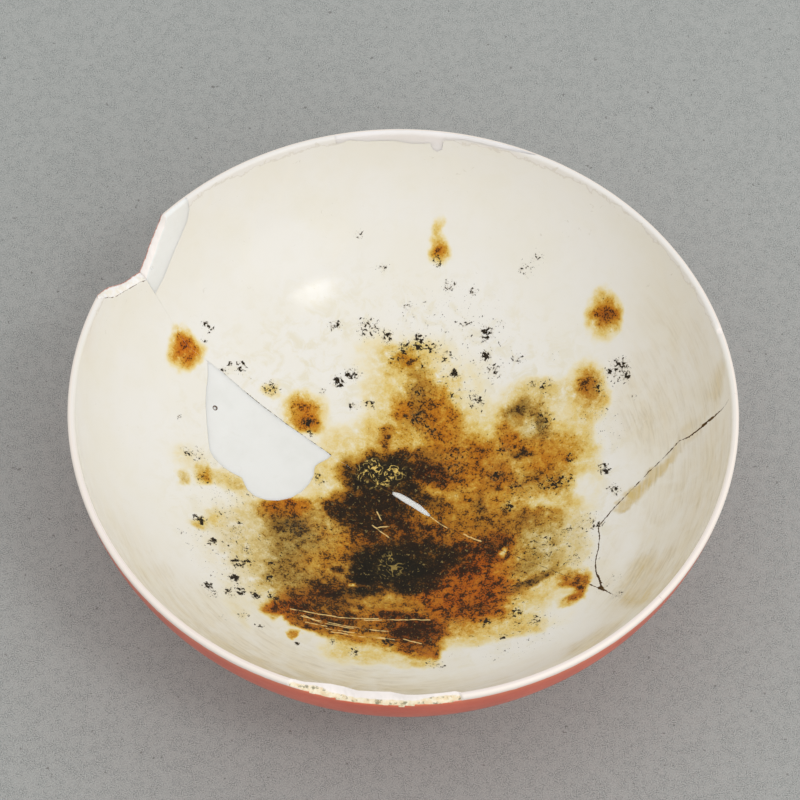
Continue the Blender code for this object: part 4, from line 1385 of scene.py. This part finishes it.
def paint_scratches(shader, laid):
    """Thin bright scratches that waver a little and are patchy."""
    waver = shader.node("ShaderNodeTexNoise", {"Vector": laid, "Scale": 0.35, "Detail": 3.0})
    waver = shader.vector("SUBTRACT", waver.outputs["Color"], (0.5, 0.5, 0.5))
    place = shader.vector("ADD", laid, shader.vector("SCALE", waver, Scale=0.9))
    strokes = [stroke for line in SCRATCHES for stroke in zip(line, line[1:])]
    nears = [distance_from_line(shader, place, *stroke).step(0.05, 0.18, 1.0, 0.0) for stroke in strokes]
    scratched = nears[0]
    for near in nears[1:]:
        scratched = scratched.at_least(near)
    patchy = shader.noise(1.6, 3.0, 0.6, w=31.0).step(0.32, 0.5)
    shader.paint(scratched * patchy, srgb(236, 202, 132))


def paint_lip(shader, laid):
    """The lip's lighter glaze, and where it is worn along the back."""
    below = shader.field("below_lip")
    backward = shader.part(laid, "Y")
    lip_colour = shader.mix(backward.step(-45.0, 15.0), srgb(240, 227, 222), srgb(231, 227, 219))
    shader.paint(below.step(0.3, 1.2, 1.0, 0.0) * 0.75, lip_colour)
    worn = below + (shader.noise(2.6, 5.0, 0.6, 0.5, 73.0) - 0.5) * 6.0
    at_back = backward.step(8.0, 26.0)
    shader.paint(worn.step(1.5, 1.7, 0.6, 0.0) * at_back, srgb(233, 230, 227))
    shader.paint(abs(worn - 1.65).step(0.1, 0.35, 0.4, 0.0) * at_back, srgb(206, 199, 186))


def inside_material():
    shader = Shader("glazed_inside", srgb(236, 234, 228))
    laid = shader.attribute("laid_flat", "Vector")
    paint_washes_and_shade(shader, laid)
    level = paint_stain(shader)
    ridges = paint_crust(shader, level)
    speck = paint_specks(shader, level)
    paint_scratches(shader, laid)
    paint_lip(shader, laid)
    broken = shader.broken()
    shader.paint(broken, srgb(242, 234, 228))
    shader.paint_dirt_and_shade(srgb(86, 60, 22))

    rough = level.step(0.2, 0.9, 0.11, 0.5) + shader.noise(2.2, 4.0, 0.6, w=41.0) * 0.1
    film = shader.noise(0.5, 5.0, 0.65, w=47.0) * level.step(0.15, 0.9, 0.015, 0.55)
    height = shader.noise(5.0, 3.0, 0.5, w=43.0) * 0.25 + film + speck * 0.3 + ridges * 0.8
    return shader.finish(rough.at_least(broken * 0.7), height, 0.12, Specular_IOR_Level=0.15)


def outside_material(name, coral, deep, gloss):
    """Coral that thins to bare glaze at the lip, lighter just under the lip where light is painted in,
    with a rough and a smooth part where it has flaked.
    """
    shader = Shader(name, coral)
    below = shader.field("below_lip")
    fine = shader.noise(0.9, 4.0, 0.6, w=2.0)
    shader.paint(shader.noise(9.0).step(0.35, 0.7), deep)
    shader.paint(fine.step(0.6, 0.85, 0.0, 0.22), srgb(222, 150, 130))
    # Painted light: a lighter coral band just under the lip, for the light that falls on the coral's upper
    # part
    shader.paint((below + shader.noise(2.5, w=4.0)).step(1.8, 4.2, 0.75, 0.0), srgb(230, 128, 92))
    edge = below + (shader.noise(1.6) - 0.5) * 0.5
    shader.paint(edge.step(1.25, 1.6, 1.0, 0.0), srgb(242, 232, 222))

    across = shader.part(shader.attribute("laid_flat", "Vector"), "X")
    smooth_top = abs(across + 4.0).step(6.0, 14.0, 0.8, 0.0)
    clay = shader.noise(0.9, 4.0, 0.6, w=5.0).step(0.35, 0.65)
    dirt = shader.noise(0.9, 4.0, 0.6, w=6.0).step(0.52, 0.66, 0.0, 0.8)
    body = shader.mix(dirt, shader.mix(clay, srgb(248, 238, 212), srgb(238, 216, 176)), srgb(122, 116, 84))
    body = shader.mix((edge - smooth_top).step(0.45, 0.75), srgb(248, 240, 235), body)
    broken = shader.broken()
    shader.paint(broken, body)
    shader.paint_dirt_and_shade(srgb(96, 70, 54))
    rough = (fine * 0.16 + gloss).at_least(broken * 0.6)
    height = shader.noise(4.0, 3.0, w=7.0) * 0.3 + shader.noise(0.4, w=9.0) * 0.05
    return shader.finish(rough, height, 0.1)


GLOW = {"Subsurface_Weight": 0.5, "Subsurface_Radius": (1.0, 1.0, 1.0), "Subsurface_Scale": 1.6 * MM}


def broken_material():
    shader = Shader("broken_edge", srgb(250, 247, 245))
    grain = shader.noise(0.35, 4.0, 0.6, w=2.0)
    shader.paint(shader.noise(1.5).step(0.36, 0.64), srgb(240, 233, 220))
    shader.paint(grain.step(0.6, 0.75, 0.0, 0.25), srgb(214, 200, 184))
    shader.paint_edge_of_break()
    shader.paint_dirt_and_shade(srgb(64, 44, 26))
    return shader.finish(0.55, grain, 0.06, **GLOW)


def underside_material():
    """Glaze, and bare clay where the foot ring stands on the table."""
    shader = Shader("foot_and_underside", srgb(232, 228, 216))
    grain = shader.noise(0.5, 5.0, 0.65)
    bare = shader.part(shader.place, "Z").step(0.25, 0.6, 1.0, 0.0)
    shader.paint(shader.noise(8.0, 3.0, w=4.0).step(0.4, 0.65), srgb(222, 217, 203))
    shader.paint(bare, shader.mix(grain.step(0.35, 0.65), srgb(214, 200, 176), srgb(176, 158, 130)))
    return shader.finish(bare * 0.5 + 0.22, grain, 0.06)


def fill_material(name, light, shade, walls=False):
    shader = Shader(name, light)
    shader.paint(shader.noise(7.0).step(0.35, 0.7), shade)
    shader.paint(shader.noise(2.2, 4.0, 0.6, 1.0, 8.0).step(0.56, 0.8, 0.0, 0.4), srgb(226, 226, 221))
    shader.paint(shader.field("pit").step(0.2, 0.8), srgb(84, 58, 28))
    shader.paint(shader.broken(), srgb(246, 238, 233))
    if walls:
        shader.paint_edge_of_break()
    shader.paint_dirt_and_shade(srgb(92, 78, 60))
    rough = shader.noise(1.5, w=3.0) * 0.14 + 0.3
    height = shader.noise(3.0, 3.0, w=5.0) * 0.3 + shader.noise(0.3, w=7.0) * 0.04
    return shader.finish(rough, height, 0.06, Specular_IOR_Level=0.3, **GLOW)


def fill_materials(name, light, shade):
    """A fill's materials: its outside is painted to match the bowl's."""
    filler = fill_material(name, light, shade)
    return [filler, PAINTED, fill_material(name + "_walls", light, shade, True), filler]


CORAL = outside_material("coral_outside", srgb(222, 103, 78), srgb(208, 93, 70), 0.26)
PAINTED = outside_material("coral_paint", srgb(214, 114, 88), srgb(205, 105, 82), 0.45)
GLAZED = [inside_material(), CORAL, broken_material(), underside_material()]
FILLED = fill_materials("white_filler", srgb(235, 236, 234), srgb(230, 231, 228))
BAND_FILLED = fill_materials("lilac_white_filler", srgb(234, 230, 229), srgb(231, 227, 224))


# The lines that part the pieces. Several half gaps or shares of dirt and painted shade are spread evenly
# along a line

SIDE_GAPS = [CLOSED, 0.02, 0.03, 0.07, 0.05, 0.03, 0.028, 0.028, 0.028, 0.03, 0.03, 0.04, 0.03, 0.035,
             0.06, 0.05]
SIDE_GRIME = [0.3, 0.62, 0.68, 1.0, 0.85, 0.62, 0.6, 0.6, 0.6, 0.62, 0.66, 0.68, 0.64, 0.7, 0.82, 0.95]
NARROW = 0.015
THIN = 0.02

# Each line has its pixels and its seed, and then how far it wavers, its half gap and its dirt, which by
# the half-moon is partly and along the front chip's inner edge wholly painted shade

by_strip = broken_line(CRACK_BY_STRIP, 201, half_gap=NARROW)
to_moon = broken_line(CRACK_TO_MOON, 203, half_gap=[NARROW, CLOSED, CLOSED, CLOSED, NARROW],
                      grime=[0.25, 0.05, 0.02, 0.0, 0.1])
# By the half-moon the dark line is partly dirt in the crack and partly painted shade along the fill's edge
by_moon = broken_line(CRACK_BY_MOON, 205, 0.05, THIN, [0.35, 0.55, 0.62, 0.55, 0.62])
to_sliver = broken_line(CRACK_TO_SLIVER, 207, half_gap=[THIN, CLOSED, CLOSED], grime=[0.15, 0.75, 0.8])
sliver_back = broken_line(SLIVER_BACK, 209, 0.03)
sliver_front = broken_line(SLIVER_FRONT, 211, 0.03)
to_junction = broken_line(CRACK_TO_JUNCTION, 213, half_gap=[THIN, NARROW] + 8 * [CLOSED] + [HAIRLINE],
                          grime=9 * [0.6] + [0.9])
front_crack = broken_line(FRONT_CRACK, 215, half_gap=[HAIRLINE, 0.025, NARROW] + 6 * [CLOSED],
                          grime=[0.9, 0.5, 0.2] + 6 * [0.0], end=FRONT_CRACK_AZIMUTH)
side_crack = broken_line(SIDE_CRACK, 217, 0.06, SIDE_GAPS, SIDE_GRIME, SIDE_CRACK_AZIMUTH)
moon_sweep = broken_line(MOON_SWEEP, 219, 0.06, CLOSED, 0.04)
strip_edge = broken_line(STRIP_EDGE, 221, 0.05, NARROW, 0.22, STRIP_AZIMUTH)
band_edge = broken_line(BAND_EDGE, 223, 0.16, CLOSED, 0.03, BAND_LEFT_AZIMUTH, BAND_RIGHT_AZIMUTH)
chip_back = broken_line(CHIP_BACK_INSIDE, 225, 0.2, 0.0, 0.1, start=CHIP_BACK_AZIMUTH)
# Along the front chip's inner edge the dark line is painted shade under the ridge of its broken face
chip_front = broken_line(CHIP_FRONT_INSIDE, 227, 0.2, 0.0, 0.6, end=CHIP_FRONT_AZIMUTH)
chip_back_low = broken_line(CHIP_BACK_OUTSIDE, 229, 0.12, 0.0, start=CHIP_BACK_AZIMUTH,
                            outer=True, count=len(chip_back) - 1)
chip_front_low = broken_line(CHIP_FRONT_OUTSIDE, 231, 0.12, 0.0, end=CHIP_FRONT_AZIMUTH,
                             outer=True, count=len(chip_front) - 1)


# The pieces, each from its outline, counter-clockwise


def rim(start, end):
    """A stretch of the lip as part of an outline."""
    return [(rim_arc(start, end), RIM)]


def cracks(*lines):
    """Cracks as parts of an outline."""
    return [(line, CRACK) for line in lines]


def backwards(*lines):
    """Cracks as parts of an outline, each run the other way."""
    return cracks(*(line[::-1] for line in lines))


back_parts = [
    *rim(SIDE_CRACK_AZIMUTH, BAND_RIGHT_AZIMUTH),
    *backwards(band_edge),
    *rim(BAND_LEFT_AZIMUTH, STRIP_AZIMUTH),
    *cracks(strip_edge, to_moon, by_moon, to_sliver, sliver_back, to_junction),
    *backwards(side_crack),
]
front_parts = [
    *rim(CHIP_FRONT_AZIMUTH, FRONT_CRACK_AZIMUTH),
    *backwards(front_crack, to_junction, sliver_front, to_sliver, moon_sweep, to_moon, by_strip),
]
right_parts = rim(FRONT_CRACK_AZIMUTH, SIDE_CRACK_AZIMUTH + 360.0) + cracks(side_crack, front_crack)
moon_parts = cracks(moon_sweep) + backwards(by_moon)
sliver_parts = cracks(sliver_front) + backwards(sliver_back)
band_parts = rim(BAND_RIGHT_AZIMUTH, BAND_LEFT_AZIMUTH) + cracks(band_edge)
strip_rim = rim(STRIP_AZIMUTH, CHIP_BACK_AZIMUTH)
strip_cracks = cracks(by_strip) + backwards(strip_edge)

piece("back_sherd", back_parts, GLAZED)
piece("front_sherd", front_parts + [(chip_front, CHIP)], GLAZED,
      low_parts=front_parts + [(chip_front_low, CHIP)])
piece("right_sherd", right_parts, GLAZED)
piece("half_moon_fill", moon_parts, FILLED, 0.05)
piece("chip_edge_fill", strip_rim + [(chip_back, CHIP)] + strip_cracks, FILLED, 0.02,
      strip_rim + [(chip_back_low, CHIP)] + strip_cracks)
piece("well_sliver_fill", sliver_parts, FILLED, 0.02)
piece("back_rim_fill", band_parts, BAND_FILLED, 0.02)


# The floor, the light and the camera

FLOOR_REACH = 3.0
ROOM_LIGHT = 0.87
SENSOR_WIDTH = 36.0
CLIP_NEAR = 0.05
CLIP_FAR = 20.0


def floor_material():
    shader = Shader("pale_paper", srgb(119, 123, 121))
    grain = shader.noise(0.22, 2.0, 0.7)
    shader.paint(grain.step(0.3, 0.7), srgb(186, 189, 186))
    shader.paint(shader.noise(1.6, 5.0, 0.75, w=3.0).step(0.4, 0.6, 0.0, 0.45), srgb(176, 178, 175))
    shader.paint(shader.noise(1.1, 2.0, 0.5, w=5.0).step(0.72, 0.75, 0.0, 0.6), srgb(96, 95, 92))
    return shader.finish(0.9, grain, 0.05)


def floor():
    corners = [(FLOOR_REACH * x, FLOOR_REACH * y, 0) for x, y in ((-1, -1), (1, -1), (1, 1), (-1, 1))]
    mesh = bpy.data.meshes.new("floor")
    mesh.from_pydata(corners, [], [(0, 1, 2, 3)])
    mesh.materials.append(floor_material())
    added("floor", mesh)


def lamp(name, *, direction, distance, size, power):
    """A round soft lamp that looks at the bowl from this direction."""
    data = bpy.data.lights.new(name, "AREA")
    data.shape = "DISK"
    data.size = size
    data.energy = power
    shape = added(name, data)
    direction = Vector(direction).normalized()
    shape.location = direction * distance
    shape.rotation_mode = "QUATERNION"
    shape.rotation_quaternion = direction.to_track_quat("Z", "Y")


def light():
    lamp("key", direction=(0.371, -0.337, 0.865), distance=1.3, size=0.2, power=1.8)
    lamp("low", direction=(0.55, -0.60, 0.50), distance=1.2, size=0.8, power=2.4)
    world = bpy.data.worlds.new("studio")
    world.use_nodes = True
    background = world.node_tree.nodes["Background"]
    background.inputs["Color"].default_value = (1.0, 1.0, 1.0, 1.0)
    background.inputs["Strength"].default_value = ROOM_LIGHT
    bpy.context.scene.world = world


def camera():
    data = bpy.data.cameras.new("camera")
    data.sensor_width = SENSOR_WIDTH
    data.lens = FOCAL_PIXELS / PICTURE * SENSOR_WIDTH
    data.clip_start = CLIP_NEAR
    data.clip_end = CLIP_FAR
    shape = added("camera", data)
    axes = Matrix((RIGHT, UP, -FORWARD)).transposed()
    shape.matrix_world = Matrix.Translation(Vector(EYE * MM)) @ axes.to_4x4()
    bpy.context.scene.camera = shape


floor()
light()
camera()
bpy.context.scene.view_settings.view_transform = "Standard"
